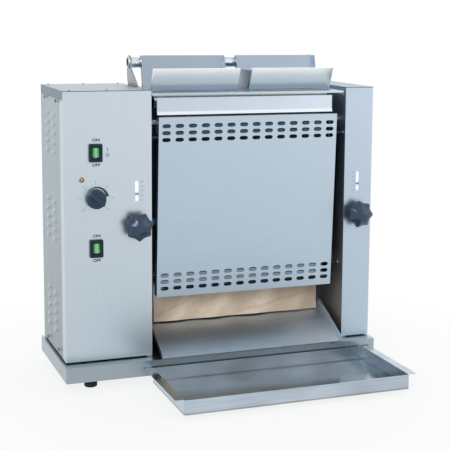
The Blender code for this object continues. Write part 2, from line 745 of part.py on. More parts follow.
def make_feet():
    names = ("foot_front_left", "foot_front_right", "foot_rear_left", "foot_rear_right")
    profile = [
        (0, FOOT_STUD_REACH),
        (FOOT_STUD_RADIUS, FOOT_STUD_REACH),
        (FOOT_STUD_RADIUS, -SEAM),
        (FOOT_NECK_RADIUS, -SEAM),
        (FOOT_NECK_RADIUS, -FOOT_NECK_HEIGHT),
        (FOOT_RADIUS, FOOT_EDGE + FOOT_RIM - FOOT_HEIGHT),
        (FOOT_RADIUS, FOOT_EDGE - FOOT_HEIGHT),
        (FOOT_RADIUS - FOOT_EDGE, -FOOT_HEIGHT),
        (0, -FOOT_HEIGHT),
    ]
    for name, (x, y) in zip(names, foot_places()):
        shop.turned(name, profile, "black_rubber", (x, y, -BASE_HEIGHT))


# Housings


def mirrored(points, side):
    """A plan polyline of the left housing's handedness, turned over for the right one."""
    return list(reversed(points)) if side > 0 else points


def upright(plan, low_z, high_z):
    """A plan polyline raised to a folded wall, its outside on the right hand of its direction."""
    return strip([(x, y, low_z) for x, y in plan], (0, 0, high_z - low_z))


def make_front_panel(name, side):
    outer = LEFT_OUTER if side < 0 else RIGHT_OUTER
    inner = side * BAY_HALF
    bend = rounded_corner((outer, FRONT_PANEL_RETURN), (outer, 0), (inner, 0), FOLD_RADIUS)
    plan = [(outer, FRONT_PANEL_RETURN)] + [tuple(point) for point in bend] + [(inner, 0)]
    panel = shop.part(name, upright(mirrored(plan, side), HOUSING_SHADOW_GAP, PANEL_TOP), "stainless")
    shop.wall(panel, SHEET)
    inner_edge = outer - side * (SHEET + CUT_OVERRUN)
    outer_edge = outer + side * CUT_OVERRUN
    openings = [box(
        (min(inner_edge, outer_edge), CORNER_RELIEF - SEAM, HOUSING_HEIGHT - LID_FLANGE - SEAM),
        (max(inner_edge, outer_edge), FRONT_PANEL_RETURN + CUT_OVERRUN, HOUSING_HEIGHT),
    )]
    openings.append(rod_along(
        "Y", (side * STAR_X, 0, STAR_Z), -CUT_OVERRUN, SHEET + CUT_OVERRUN, SCREW_RADIUS + HOLE_PLAY,
    ))
    window = rounded_rectangle(
        (side * STAR_X - GAUGE_WIDTH / 2, GAUGE_Z - GAUGE_HEIGHT / 2),
        (side * STAR_X + GAUGE_WIDTH / 2, GAUGE_Z + GAUGE_HEIGHT / 2),
        HOLE_PLAY,
        1,
    )
    openings.append(flat_shape([window], "XZ", -CUT_OVERRUN, SHEET + CUT_OVERRUN))
    return panel, openings


def rocker_body_half():
    """Half width and half height of a rocker switch's body, which its panel hole follows."""
    return ROCKER_BEZEL_WIDTH / 2 - ROCKER_BODY_MARGIN, ROCKER_BEZEL_HEIGHT / 2 - ROCKER_BODY_MARGIN


def make_left_front_panel():
    panel, openings = make_front_panel("left_front_panel", -1)
    half_width, half_height = rocker_body_half()
    for z in (POWER_ROCKER_Z, CONVEYOR_ROCKER_Z):
        x = LEFT_OUTER + ROCKER_X
        openings.append(box(
            (x - half_width - SEAM, -CUT_OVERRUN, z - half_height - SEAM),
            (x + half_width + SEAM, SHEET + CUT_OVERRUN, z + half_height + SEAM),
        ))
    openings.append(rod_along(
        "Y", (LEFT_OUTER + LAMP_X, 0, LAMP_Z), -CUT_OVERRUN, SHEET + CUT_OVERRUN, LAMP_NECK_RADIUS + SEAM,
    ))
    openings.append(rod_along(
        "Y", (LEFT_OUTER + DIAL_X, 0, DIAL_Z), -CUT_OVERRUN, SHEET + CUT_OVERRUN,
        DIAL_SHAFT_RADIUS + HOLE_PLAY,
    ))
    shop.cut(panel, openings)


def make_right_front_panel():
    panel, openings = make_front_panel("right_front_panel", 1)
    shop.cut(panel, openings)


def side_cover_plan(side):
    outer = LEFT_OUTER if side < 0 else RIGHT_OUTER
    inner = side * (BAY_HALF + SEAM)
    front_y = FRONT_PANEL_RETURN + SEAM
    bend = rounded_corner((inner, HOUSING_DEPTH), (outer, HOUSING_DEPTH), (outer, front_y), FOLD_RADIUS)
    return [(inner, HOUSING_DEPTH)] + [tuple(point) for point in bend] + [(outer, front_y)]


def make_side_cover(name, side):
    high_z = HOUSING_HEIGHT - LID_FLANGE - SEAM
    wall = upright(mirrored(side_cover_plan(side), side), HOUSING_SHADOW_GAP, high_z)
    cover = shop.part(name, wall, "stainless")
    shop.wall(cover, SHEET)
    return cover


def louvre_places():
    """Centres of the louvres in y and z: three groups of two columns."""
    high_z = HOUSING_HEIGHT - LOUVRE_HIGH_DROP
    middle_z = LOUVRE_LOW_Z + (high_z - LOUVRE_LOW_Z) * LOUVRE_MIDDLE_SHARE
    return [
        (LOUVRE_COLUMN_Y + LOUVRE_COLUMN_PITCH * column, top - LOUVRE_PITCH * row)
        for top in (high_z, middle_z, LOUVRE_LOW_Z)
        for column in range(LOUVRE_COLUMNS)
        for row in range(LOUVRES_IN_COLUMN)
    ]


def louvre_wedge(y, z, skin):
    """A hood that stands out of the left side, or, with a skin, the hollow under it."""
    root_x = LEFT_OUTER + (SHEET / 2 if skin == 0 else SHEET + CUT_OVERRUN)
    nose_x = LEFT_OUTER - LOUVRE_PROUD + skin
    top = z + LOUVRE_HEIGHT / 2 - 2 * skin
    bottom = z - LOUVRE_HEIGHT / 2
    section = [(root_x, bottom), (nose_x, bottom), (nose_x, bottom + LOUVRE_LIP), (root_x, top)]
    half_length = LOUVRE_LENGTH / 2 - skin
    return flat_shape([section], "XZ", y - half_length, y + half_length)


def make_left_side_cover():
    cover = make_side_cover("left_side_cover", -1)
    hoods = [louvre_wedge(y, z, 0) for y, z in louvre_places()]
    hollows = [louvre_wedge(y, z, LOUVRE_SKIN) for y, z in louvre_places()]
    shop.boolean(cover, "UNION", hoods)
    gland_hole = rod_along(
        "Y", (LEFT_OUTER + GLAND_X, 0, GLAND_Z), HOUSING_DEPTH - SHEET - CUT_OVERRUN,
        HOUSING_DEPTH + CUT_OVERRUN, GLAND_SHANK_RADIUS + SEAM,
    )
    shop.cut(cover, hollows + [gland_hole])


def make_lid(name, side):
    outer = LEFT_OUTER if side < 0 else RIGHT_OUTER
    inner = side * BAY_HALF
    left = min(outer, inner)
    right = max(outer, inner)
    corners = [
        (left, 0, HOUSING_HEIGHT),
        (right, 0, HOUSING_HEIGHT),
        (right, HOUSING_DEPTH, HOUSING_HEIGHT),
        (left, HOUSING_DEPTH, HOUSING_HEIGHT),
    ]
    drop = (0, 0, -LID_FLANGE)
    outer_edge = 3 if side < 0 else 1
    lid = shop.part(name, folded_panel(corners, {outer_edge: drop, 2: drop}), "stainless")
    shop.wall(lid, SHEET)
    return lid


def make_left_lid():
    """The left lid has a slot for the tab of the rod's arm."""
    lid = make_lid("left_top_lid", -1)
    front_y, rear_y = arm_tab_span()
    shop.cut(lid, [box(
        (-LEFT_ARM_X - ARM_PLATE - SEAM, front_y - SEAM, HOUSING_HEIGHT - SHEET - CUT_OVERRUN),
        (SEAM - LEFT_ARM_X, rear_y + SEAM, HOUSING_HEIGHT + CUT_OVERRUN),
    )])


def peg_places():
    """Seats of the front cover's pegs, in y and z."""
    return [(cover_y(z) + PEG_SEAT, z) for z in (PEG_HIGH_Z, PEG_LOW_Z)]


def make_inner_wall(name, side):
    bay_face = side * BAY_HALF
    back = bay_face + side * INNER_WALL_FLANGE
    plan = [(back, WALL_FRONT_Y), (bay_face, WALL_FRONT_Y), (bay_face, WALL_REAR_Y), (back, WALL_REAR_Y)]
    wall = shop.part(name, upright(mirrored(plan, side), SEAM, PANEL_TOP), "dark_steel")
    shop.wall(wall, WALL_PLATE)
    middle = bay_face + side * WALL_PLATE / 2
    boss_end = bay_face + side * (WALL_PLATE + BOSS_LENGTH)
    additions = []
    for axis_y in (FRONT_AXIS_Y, REAR_AXIS_Y):
        additions.append(rod_along(
            "X", (0, axis_y, DRIVE_Z), min(middle, boss_end), max(middle, boss_end), BOSS_RADIUS,
        ))
    cover_edge = cover_edges()[0 if side < 0 else 1]
    peg_end = cover_edge - side * PEG_REACH
    for y, z in peg_places():
        additions.append(rod_along(
            "X", (0, y, z), min(middle, peg_end), max(middle, peg_end), PEG_RADIUS, FINE_SIDES // 2,
        ))
    bore_low = min(bay_face, boss_end) - CUT_OVERRUN
    bore_high = max(bay_face, boss_end) + CUT_OVERRUN
    bores = []
    for axis_y in (FRONT_AXIS_Y, REAR_AXIS_Y):
        bores.append(rod_along(
            "X", (0, axis_y, DRIVE_Z), bore_low, bore_high, SHAFT_RADIUS + SHAFT_WALL_PLAY, FINE_SIDES,
        ))
    arm_y = FRONT_AXIS_Y if side < 0 else REAR_AXIS_Y
    wall_low = min(bay_face, bay_face + side * WALL_PLATE) - CUT_OVERRUN
    wall_high = max(bay_face, bay_face + side * WALL_PLATE) + CUT_OVERRUN
    slot_half_depth = ARM_DEPTH / 2 + ARM_SLOT_MARGIN
    slot_half_height = ARM_HEIGHT / 2 + ARM_EYE_PLAY
    slot = rounded_rectangle(
        (arm_y - slot_half_depth, STAR_Z - slot_half_height),
        (arm_y + slot_half_depth, STAR_Z + slot_half_height),
        FOLD_RADIUS,
    )
    bores.append(flat_shape([slot], "YZ", wall_low, wall_high))
    if side < 0:
        additions.append(rod_along(
            "X", (0, *idler_gear_place()), GEAR_LOW_X - RUNNING_GAP, middle, AXLE_RADIUS,
        ))
        for z in (ELEMENT_LOW_Z, ELEMENT_HIGH_Z):
            bores.append(rod_along("X", (0, PLATEN_Y, z), wall_low, wall_high, ELEMENT_RADIUS + HOLE_PLAY))
    shop.join(wall, additions)
    shop.cut(wall, bores)


def make_rear_cover():
    half = BAY_HALF - SEAM
    top = DECK_TOP
    corners = [
        (half, HOUSING_DEPTH, REAR_COVER_BOTTOM),
        (-half, HOUSING_DEPTH, REAR_COVER_BOTTOM),
        (-half, HOUSING_DEPTH, top),
        (half, HOUSING_DEPTH, top),
    ]
    inwards = (0, -REAR_COVER_FLANGE, 0)
    cover = shop.part("rear_cover", folded_panel(corners, {0: inwards, 1: inwards, 3: inwards}), "stainless")
    shop.wall(cover, SHEET)
    slots = slot_rows(0, top - SLOT_EDGE, -SLOT_ROW_PITCH, REAR_SLOT_ROWS)
    slots += slot_rows(0, REAR_COVER_BOTTOM + SLOT_EDGE, SLOT_ROW_PITCH, REAR_SLOT_ROWS)
    shop.cut(cover, [flat_shape(slots, "XZ", HOUSING_DEPTH - SHEET - CUT_OVERRUN, HOUSING_DEPTH + CUT_OVERRUN)])


def slot_rows(middle_x, first_z, step_z, rows):
    """Outlines of full rows of slots about a middle, in x and z."""
    first_x = middle_x - SLOT_PITCH * (SLOT_COLUMNS - 1) / 2
    return [
        oblong((first_x + SLOT_PITCH * column, first_z + step_z * row), SLOT_LENGTH, SLOT_HEIGHT)
        for row in range(rows)
        for column in range(SLOT_COLUMNS)
    ]


# Front cover


def cover_y(z):
    """The front cover leans: its outer face at a height."""
    share = (z - COVER_BOTTOM) / (COVER_TOP - COVER_BOTTOM)
    return COVER_BOTTOM_Y + (COVER_TOP_Y - COVER_BOTTOM_Y) * share


def cover_edges():
    """The front cover's left and right edges."""
    return COVER_LEFT_GAP - BAY_HALF, BAY_HALF - COVER_RIGHT_GAP


def make_front_cover():
    left, right = cover_edges()
    corners = [
        (left, COVER_BOTTOM_Y, COVER_BOTTOM),
        (right, COVER_BOTTOM_Y, COVER_BOTTOM),
        (right, COVER_TOP_Y, COVER_TOP),
        (left, COVER_TOP_Y, COVER_TOP),
    ]
    flanges = {
        0: (0, COVER_BOTTOM_FLANGE, 0),
        1: (0, COVER_SIDE_FLANGE, 0),
        2: (0, COVER_TOP_FLANGE, 0),
        3: (0, COVER_SIDE_FLANGE, 0),
    }
    cover = shop.part("front_cover", folded_panel(corners, flanges), "stainless")
    shop.wall(cover, SHEET)
    middle_x = (left + right) / 2
    slots = slot_rows(middle_x, COVER_TOP - SLOT_EDGE, -SLOT_ROW_PITCH, SLOT_ROWS)
    slots += slot_rows(middle_x, COVER_BOTTOM + SLOT_EDGE, SLOT_ROW_PITCH, SLOT_ROWS)
    shop.cut(cover, [flat_shape(slots, "XZ", COVER_TOP_Y - CUT_OVERRUN, COVER_BOTTOM_Y + CUT_OVERRUN)])
    notches = []
    notch_length = 2 * COVER_SIDE_FLANGE
    notch_width = 2 * (PEG_RADIUS + RUNNING_GAP)
    reach = (notch_length - notch_width) / 2
    for y, z in peg_places():
        angle = COVER_LIFT_ANGLE * DEGREE
        centre = (y + reach * math.cos(angle), z - reach * math.sin(angle))
        outline = oblong(centre, notch_length, notch_width, ROUND_SIDES // 2, -COVER_LIFT_ANGLE)
        for low_x in (left - CUT_OVERRUN, right - SHEET - CUT_OVERRUN):
            notches.append(flat_shape([outline], "YZ", low_x, low_x + SHEET + 2 * CUT_OVERRUN))
    shop.cut(cover, notches)


# Upper band and deck


def make_upper_band():
    hanger_y = BAND_Y + BAND_DEPTH
    hanger_top = DECK_UNDERSIDE - SEAM - SHEET
    section = [
        (hanger_y - BAND_HANGER, hanger_top),
        (hanger_y, hanger_top),
        (hanger_y, BAND_TOP),
        (BAND_Y, BAND_TOP),
        (BAND_Y, BAND_BOTTOM + BAND_LIP),
        (BAND_Y - BAND_LIP, BAND_BOTTOM),
    ]
    points = [(BAND_X - BAND_HALF_WIDTH, y, z) for y, z in section]
    band = shop.part("upper_band", strip(points, (2 * BAND_HALF_WIDTH, 0, 0)), "stainless")
    shop.wall(band, SHEET)


def mouth_outlines(margin):
    """The two column mouths in plan, grown by a margin."""
    low_y = PLATEN_Y - MOUTH_HALF_DEPTH - margin
    high_y = PLATEN_Y + MOUTH_HALF_DEPTH + margin
    inner = MOUTH_INNER_X - margin
    outer = MOUTH_OUTER_X + margin
    return [
        rounded_rectangle((-outer, low_y), (-inner, high_y), MOUTH_CORNER_RADIUS),
        rounded_rectangle((inner, low_y), (outer, high_y), MOUTH_CORNER_RADIUS),
    ]


def make_bun_deck():
    half = BAY_HALF - SEAM
    rear_y = WALL_REAR_Y - DECK_REAR_MARGIN
    corners = [
        (-half, DECK_FRONT_Y, DECK_TOP),
        (half, DECK_FRONT_Y, DECK_TOP),
        (half, rear_y, DECK_TOP),
        (-half, rear_y, DECK_TOP),
    ]
    side_lip = (0, 0, -DECK_SIDE_LIP)
    lips = {0: (0, 0, -DECK_FRONT_LIP), 1: side_lip, 2: side_lip, 3: side_lip}
    deck = shop.part("bun_deck", folded_panel(corners, lips), "stainless")
    shop.wall(deck, SHEET)
    shop.cut(deck, [flat_shape(mouth_outlines(0), "XY", DECK_UNDERSIDE - CUT_OVERRUN, DECK_TOP + CUT_OVERRUN)])


# Feeder, which lifts off the deck


def make_feeder_frame():
    outline = rounded_rectangle(
        (-FEEDER_OUTER_X, FEEDER_FRAME_FRONT), (FEEDER_OUTER_X, FEEDER_FRAME_REAR), MOUTH_CORNER_RADIUS,
    )
    ring = flat_shape([outline] + mouth_outlines(RUNNING_GAP), "XY", FEEDER_BASE_Z, FEEDER_FLOOR_Z)
    frame = shop.part("feeder_frame", ring, "stainless")
    base_z = FEEDER_FLOOR_Z - SHEET / 2
    height = FEEDER_FIN_TOP - base_z
    front_shift = FLAP_LEAN * height / (FLAP_TOP - base_z)
    rear_shift = PLATE_LEAN * height / (PLATE_TOP - base_z)
    front_y = FLAP_FOOT_Y + SHEET + FEEDER_FIN_MARGIN
    rear_y = PLATE_FOOT_Y - SHEET - FEEDER_FIN_MARGIN
    fin = [
        (front_y, base_z),
        (rear_y, base_z),
        (rear_y + rear_shift, FEEDER_FIN_TOP),
        (front_y - front_shift, FEEDER_FIN_TOP),
    ]
    fin_x = FEEDER_INNER_X - SEAM
    fins = [flat_shape([fin], "YZ", low_x, low_x + SHEET) for low_x in (-fin_x, fin_x - SHEET)]
    shop.join(frame, fins)


def leaning_channel(name, low_x, high_x, foot_y, lean, top_z, flange, front_facing):
    """A plate with side flanges that leans by a shear, so its foot and top stay level."""
    plan = [(low_x, foot_y + flange), (low_x, foot_y), (high_x, foot_y), (high_x, foot_y + flange)]
    if not front_facing:
        plan.reverse()
    foot_z = FEEDER_FLOOR_Z + SEAM
    points = [(x, y, foot_z) for x, y in plan]
    part = shop.part(name, strip(points, (0, lean, top_z - foot_z)), "stainless")
    shop.wall(part, SHEET)


def make_feeder_plates():
    for word, low_x in (("left", -FEEDER_OUTER_X), ("right", FEEDER_INNER_X)):
        high_x = low_x + FEEDER_OUTER_X - FEEDER_INNER_X
        leaning_channel(
            "front_flap_" + word, low_x, high_x, FLAP_FOOT_Y, -FLAP_LEAN, FLAP_TOP, FEEDER_FLANGE, True,
        )
        leaning_channel(
            "rear_chute_plate_" + word, low_x, high_x, PLATE_FOOT_Y, PLATE_LEAN, PLATE_TOP, -FEEDER_FLANGE, False,
        )


# Rod over the housings, on two arms


def make_rod():
    """A tube turned about X: down its outer side and back up its bore."""
    left = -BAY_HALF - ROD_LEFT_REACH
    right = BAY_HALF - ROD_RIGHT_SET_IN
    edge = ROD_END_EDGE
    profile = [
        (ROD_RADIUS - edge, right),
        (ROD_RADIUS, right - edge),
        (ROD_RADIUS, left + edge),
        (ROD_RADIUS - edge, left),
        (ROD_BORE_RADIUS, left),
        (ROD_BORE_RADIUS, right),
        (ROD_RADIUS - edge, right),
    ]
    place = (0, ROD_Y, ROD_Z)
    shop.turned("feeder_rod", profile, "chrome", place, (0, math.pi / 2, 0), FINE_SIDES)


def arm_tab_span():
    """Front and rear of the left arm's tab, which passes through the lid."""
    return ARM_TOE_Y + ARM_TAB_MARGIN, ROD_Y + ARM_HEAD_RADIUS - ARM_TAIL - ARM_TAB_MARGIN


def make_left_rod_arm():
    """A plate arm on the lid: a tab beside the inner wall, a raked neck and a ring round the rod."""
    foot_z = HOUSING_HEIGHT + SEAM
    tab_z = HOUSING_HEIGHT - ARM_TAB_DROP
    tab_front, tab_rear = arm_tab_span()
    rear_y = ROD_Y + ARM_HEAD_RADIUS
    outline = [(ARM_TOE_Y, foot_z), (rear_y - ARM_TAIL, foot_z), (rear_y, ROD_Z - 2 * ARM_HEAD_RADIUS)]
    outline += arc((ROD_Y, ROD_Z), ARM_HEAD_RADIUS, 0, 180, ARM_HEAD_POINTS)
    outline += [(ROD_Y - ARM_HEAD_RADIUS, ROD_Z - ARM_HEAD_RADIUS), (ARM_TOE_Y, foot_z + ARM_PLATE / 2)]
    plate = flat_shape([outline], "YZ", -LEFT_ARM_X - ARM_PLATE, -LEFT_ARM_X)
    arm = shop.part("left_rod_arm", plate, "stainless")
    shop.join(arm, [box(
        (-LEFT_ARM_X - ARM_PLATE + SEAM, tab_front, tab_z),
        (-LEFT_ARM_X - SEAM, tab_rear, foot_z + ARM_PLATE),
    )])
    shop.cut(arm, [rod_along(
        "X", (0, ROD_Y, ROD_Z), -LEFT_ARM_X - ARM_PLATE - CUT_OVERRUN, CUT_OVERRUN - LEFT_ARM_X,
        ROD_RADIUS + SEAM, FINE_SIDES,
    )])


def make_right_rod_arm():
    """A plate on the deck behind the right rear plate, with a saddle that holds the rod from behind."""
    foot_z = DECK_TOP + SEAM
    near = BAY_HALF - RIGHT_ARM_SET_IN
    rear_y = ROD_Y + ARM_HEAD_RADIUS
    saddle = ROD_RADIUS + SEAM
    outline = [(ROD_Y, foot_z), (rear_y, foot_z)]
    outline += arc((ROD_Y, ROD_Z), ARM_HEAD_RADIUS, 0, 90, ARM_HEAD_POINTS // 2)
    outline += arc((ROD_Y, ROD_Z), saddle, 90, -90, ARM_HEAD_POINTS)
    arm = shop.part("right_rod_arm", flat_shape([outline], "YZ", near - ARM_PLATE, near), "stainless")
    shop.join(arm, [box(
        (near - ARM_PLATE / 2, ROD_Y, foot_z), (near + RIGHT_ARM_FOOT, rear_y + RIGHT_ARM_HEEL, foot_z + ARM_PLATE),
    )])


# Heated platen


def make_platen():
    half = PLATEN_WIDTH / 2
    block = box((-half, PLATEN_FRONT_Y, PLATEN_BOTTOM), (half, PLATEN_REAR_Y, PLATEN_TOP))
    platen = shop.part("heated_platen", block, "aluminium")
    rib_top = CAP_RIDGE - SHEET / math.cos(math.atan2(CAP_RIDGE - CAP_SHOULDER, CAP_HALF_WIDTH)) - SEAM
    rib_half = PLATEN_RIB_THICKNESS / 2
    rib_top -= rib_half * (CAP_RIDGE - CAP_SHOULDER) / CAP_HALF_WIDTH
    additions = [box(
        (-half, PLATEN_Y - rib_half, PLATEN_TOP - WALL_PLATE), (half, PLATEN_Y + rib_half, rib_top),
    )]
    lug_reach = BAY_HALF - SEAM
    lug_low_y = PLATEN_Y - PLATEN_LUG_THICKNESS / 2
    lug_high_y = PLATEN_Y + PLATEN_LUG_THICKNESS / 2
    for low_z in (PLATEN_BOTTOM + PLATEN_LUG_SET_IN, PLATEN_TOP - PLATEN_LUG_SET_IN - PLATEN_LUG_HEIGHT):
        additions.append(box(
            (half - WALL_PLATE, lug_low_y, low_z), (lug_reach, lug_high_y, low_z + PLATEN_LUG_HEIGHT),
        ))
        additions.append(box(
            (-lug_reach, lug_low_y, low_z), (WALL_PLATE - half, lug_high_y, low_z + PLATEN_LUG_HEIGHT),
        ))
    shop.join(platen, additions)
    bores = [
        rod_along("X", (0, PLATEN_Y, z), -half - CUT_OVERRUN, half + CUT_OVERRUN, ELEMENT_RADIUS + RUNNING_GAP)
        for z in (ELEMENT_LOW_Z, ELEMENT_HIGH_Z)
    ]
    shop.cut(platen, bores)


def make_heating_element():
    """A hairpin tube: two legs through the platen, a bend past its right end, tails in the left housing."""
    bend_x = PLATEN_WIDTH / 2 + ELEMENT_BEND + ELEMENT_RADIUS / 2
    tail_x = -BAY_HALF - ELEMENT_TAIL
    corner_x = bend_x - ELEMENT_BEND
    low = arc((corner_x, ELEMENT_LOW_Z + ELEMENT_BEND), ELEMENT_BEND, 270, 360, ELEMENT_BEND_POINTS)
    high = arc((corner_x, ELEMENT_HIGH_Z - ELEMENT_BEND), ELEMENT_BEND, 0, 90, ELEMENT_BEND_POINTS)
    path = [(tail_x, ELEMENT_LOW_Z)] + low + high + [(tail_x, ELEMENT_HIGH_Z)]
    curve = bpy.data.curves.new("heating_element", "CURVE")
    curve.dimensions = "3D"
    curve.bevel_depth = ELEMENT_RADIUS
    curve.bevel_resolution = 2
    curve.use_fill_caps = True
    spline = curve.splines.new("POLY")
    spline.points.add(len(path) - 1)
    for point, (x, z) in zip(spline.points, path):
        point.co = (x, 0, z, 1)
    shop.part("heating_element", curve, "dark_steel", (0, PLATEN_Y, 0))


def make_platen_cap():
    left = PLATEN_Y - CAP_HALF_WIDTH
    right = PLATEN_Y + CAP_HALF_WIDTH
    section = [
        (right, CAP_SKIRT_BOTTOM),
        (right, CAP_SHOULDER),
        (PLATEN_Y, CAP_RIDGE),
        (left, CAP_SHOULDER),
        (left, CAP_SKIRT_BOTTOM),
    ]
    points = [(-CAP_LENGTH / 2, y, z) for y, z in section]
    cap = shop.part("platen_cap", strip(points, (CAP_LENGTH, 0, 0)), "stainless")
    shop.wall(cap, SHEET)


# Release sheets, which hang against the platen and end above the chute


def chute_z(y):
    """Height of the chute's upper face at a depth."""
    share = (y + BASE_FRONT_OVERHANG) / (CHUTE_REAR_Y + BASE_FRONT_OVERHANG)
    rise = CHUTE_REAR_Z - CHUTE_FRONT_Z
    return CHUTE_FRONT_Z + rise * share * (1 + CHUTE_BOW_SHARE - CHUTE_BOW_SHARE * share)


def make_release_sheet(name, face_y, outwards):
    """Flat down to the platen's lower edge, then free, swayed and creased."""
    middle_y = face_y + outwards * (SEAM + SHEET_CLOTH / 2)
    bottom = chute_z(middle_y) + RELEASE_SHEET_HANG
    free = PLATEN_BOTTOM - bottom
    columns = round(RELEASE_SHEET_WIDTH / RELEASE_CREASE_PITCH * 4)
    sections = []
    for z in (bottom, bottom + free / 3, bottom + free * 2 / 3, PLATEN_BOTTOM, RELEASE_SHEET_TOP):
        slack = max(0, (PLATEN_BOTTOM - z) / free)
        row = []
        for i in range(columns + 1):
            x = RELEASE_SHEET_X + RELEASE_SHEET_WIDTH * (i / columns - 1 / 2)
            phase = (x + RELEASE_CREASE_SLANT * z) / RELEASE_CREASE_PITCH % 1
            crease = RELEASE_SHEET_CREASE * (4 * abs(phase - 1 / 2) - 1)
            row.append((x, middle_y + outwards * slack * (RELEASE_SHEET_SWAY + crease), z))
        sections.append(row)
    sheet = shop.part(name, loft(sections), "release_cloth")
    shop.wall(sheet, SHEET_CLOTH, 0)


# Belts, rollers and their frames


def belt_outline(ribbed):
    """A belt's loop round both rollers, in y from its axis and z, with square ribs outside."""
    radius = BELT_INNER_RADIUS + BELT_THICKNESS if ribbed else BELT_INNER_RADIUS
    straight = DRIVE_Z - IDLER_Z
    length = 2 * straight + 2 * math.pi * radius

    def point_at(distance, proud):
        distance = distance % length
        r = radius + proud
        if distance < straight:
            return (r, IDLER_Z - DRIVE_Z + distance)
        distance -= straight
        if distance < math.pi * radius:
            angle = distance / radius
            return (r * math.cos(angle), r * math.sin(angle))
        distance -= math.pi * radius
        if distance < straight:
            return (-r, -distance)
        angle = math.pi + (distance - straight) / radius
        return (r * math.cos(angle), IDLER_Z - DRIVE_Z + r * math.sin(angle))

    if not ribbed:
        loop = arc((0, 0), radius, 0, 180, ROUND_SIDES // 2)
        return loop + arc((0, IDLER_Z - DRIVE_Z), radius, 180, 360, ROUND_SIDES // 2)
    loop = []
    rib_count = round(length / BELT_RIB_PITCH)
    pitch = length / rib_count
    rib = pitch * BELT_RIB_SHARE
    for i in range(rib_count):
        start = i * pitch
        loop += [point_at(start, 0), point_at(start, BELT_RIB)]
        loop += [point_at(start + rib, BELT_RIB), point_at(start + rib, 0)]
        between = point_at(start + (rib + pitch) / 2, 0)
        if abs(between[0]) < radius - WELD:
            loop.append(between)
    return loop


def make_belt(name, pivot):
    half = BELT_WIDTH / 2
    belt = shop.part(name, flat_shape([belt_outline(True)], "YZ", -half, half), "belt_rubber", parent=pivot)
    hollow = flat_shape([belt_outline(False)], "YZ", -half - CUT_OVERRUN, half + CUT_OVERRUN)
    shop.cut(belt, [hollow], parent=pivot)


def pivot_empty(name, place):
    empty = bpy.data.objects.new(name, None)
    empty.location = place
    empty.parent = shop.bay_frame
    shop.parts.objects.link(empty)
    return empty


def make_conveyor_frame(name, pivot, arm_side, lane_side):
    """Two side plates, a backing channel behind the belt's lane run and an arm to the lead screw."""
    depth = FRAME_PLATE_DEPTH / 2
    low_z = IDLER_Z - DRIVE_Z - FRAME_PLATE_OVERHANG
    high_z = FRAME_PLATE_OVERHANG
    outline = rounded_rectangle((-depth, low_z), (depth, high_z), FRAME_PLATE_OVERHANG)
    backing_y = lane_side * (BELT_INNER_RADIUS - BACKING_CLEARANCE)
    rear_y = backing_y - lane_side * BACKING_DEPTH
    low_back_z = IDLER_Z - DRIVE_Z + BACKING_SET_IN
    high_back_z = -BACKING_SET_IN
    section = [(rear_y, high_back_z), (backing_y, high_back_z), (backing_y, low_back_z), (rear_y, low_back_z)]
    if lane_side > 0:
        section.reverse()
    points = [(-FRAME_INNER_X - FRAME_PLATE / 2, y, z) for y, z in section]
    frame = shop.part(name, strip(points, (2 * FRAME_INNER_X + FRAME_PLATE, 0, 0)), "stainless", parent=pivot)
    shop.wall(frame, SHEET)
    plates = [
        flat_shape([outline], "YZ", -FRAME_OUTER_X, -FRAME_INNER_X),
        flat_shape([outline], "YZ", FRAME_INNER_X, FRAME_OUTER_X),
    ]
    arm_z = STAR_Z - DRIVE_Z
    arm_start = arm_side * (FRAME_INNER_X + FRAME_PLATE / 2)
    arm_end = arm_side * (STAR_X - ARM_EYE_RADIUS / 2)
    arm = box(
        (min(arm_start, arm_end), -ARM_DEPTH / 2, arm_z - ARM_HEIGHT / 2),
        (max(arm_start, arm_end), ARM_DEPTH / 2, arm_z + ARM_HEIGHT / 2),
    )
    eye = rod_along(
        "Y", (arm_side * STAR_X, 0, arm_z), -ARM_DEPTH / 2 - SEAM, ARM_DEPTH / 2 + SEAM, ARM_EYE_RADIUS,
    )
    shop.join(frame, plates + [arm, eye], parent=pivot)
    holes = [
        rod_along("Y", (arm_side * STAR_X, 0, arm_z), -ARM_DEPTH, ARM_DEPTH, SCREW_RADIUS + ARM_EYE_PLAY),
    ]
    for z in (0, IDLER_Z - DRIVE_Z):
        for low_x in (-FRAME_OUTER_X - CUT_OVERRUN, FRAME_INNER_X - CUT_OVERRUN):
            high_x = low_x + FRAME_PLATE + 2 * CUT_OVERRUN
            holes.append(rod_along("X", (0, 0, z), low_x, high_x, SHAFT_RADIUS + SHAFT_WALL_PLAY, FINE_SIDES))
    shop.cut(frame, holes, parent=pivot)
    return frame


def make_roller(name, place, low_x, high_x, parent=None):
    """A roller on its shaft, turned about X, with its shaft from low_x to high_x."""
    half = BELT_WIDTH / 2
    profile = [
        (0, high_x),
        (SHAFT_RADIUS, high_x),
        (SHAFT_RADIUS, half),
        (ROLLER_RADIUS, half),
        (ROLLER_RADIUS, -half),
        (SHAFT_RADIUS, -half),
        (SHAFT_RADIUS, low_x),
        (0, low_x),
    ]
    return shop.turned(name, profile, "aluminium", place, (0, math.pi / 2, 0), FINE_SIDES, parent)


def make_conveyors():
    drive_low_x = GEAR_LOW_X
    drive_high_x = BAY_HALF + WALL_PLATE + BOSS_LENGTH
    idler_end = FRAME_OUTER_X + WALL_PLATE
    for word, axis_y, arm_side, lane_side in (("front", FRONT_AXIS_Y, -1, 1), ("rear", REAR_AXIS_Y, 1, -1)):
        place = (0, axis_y, DRIVE_Z)
        pivot = pivot_empty(word + "_conveyor_pivot", place)
        make_conveyor_frame(word + "_conveyor_frame", pivot, arm_side, lane_side)
        make_belt(word + "_belt", pivot)
        make_roller(word + "_idler_roller", (0, 0, IDLER_Z - DRIVE_Z), -idler_end, idler_end, pivot)
        make_roller(word + "_drive_roller", place, drive_low_x, drive_high_x)


# Drive train


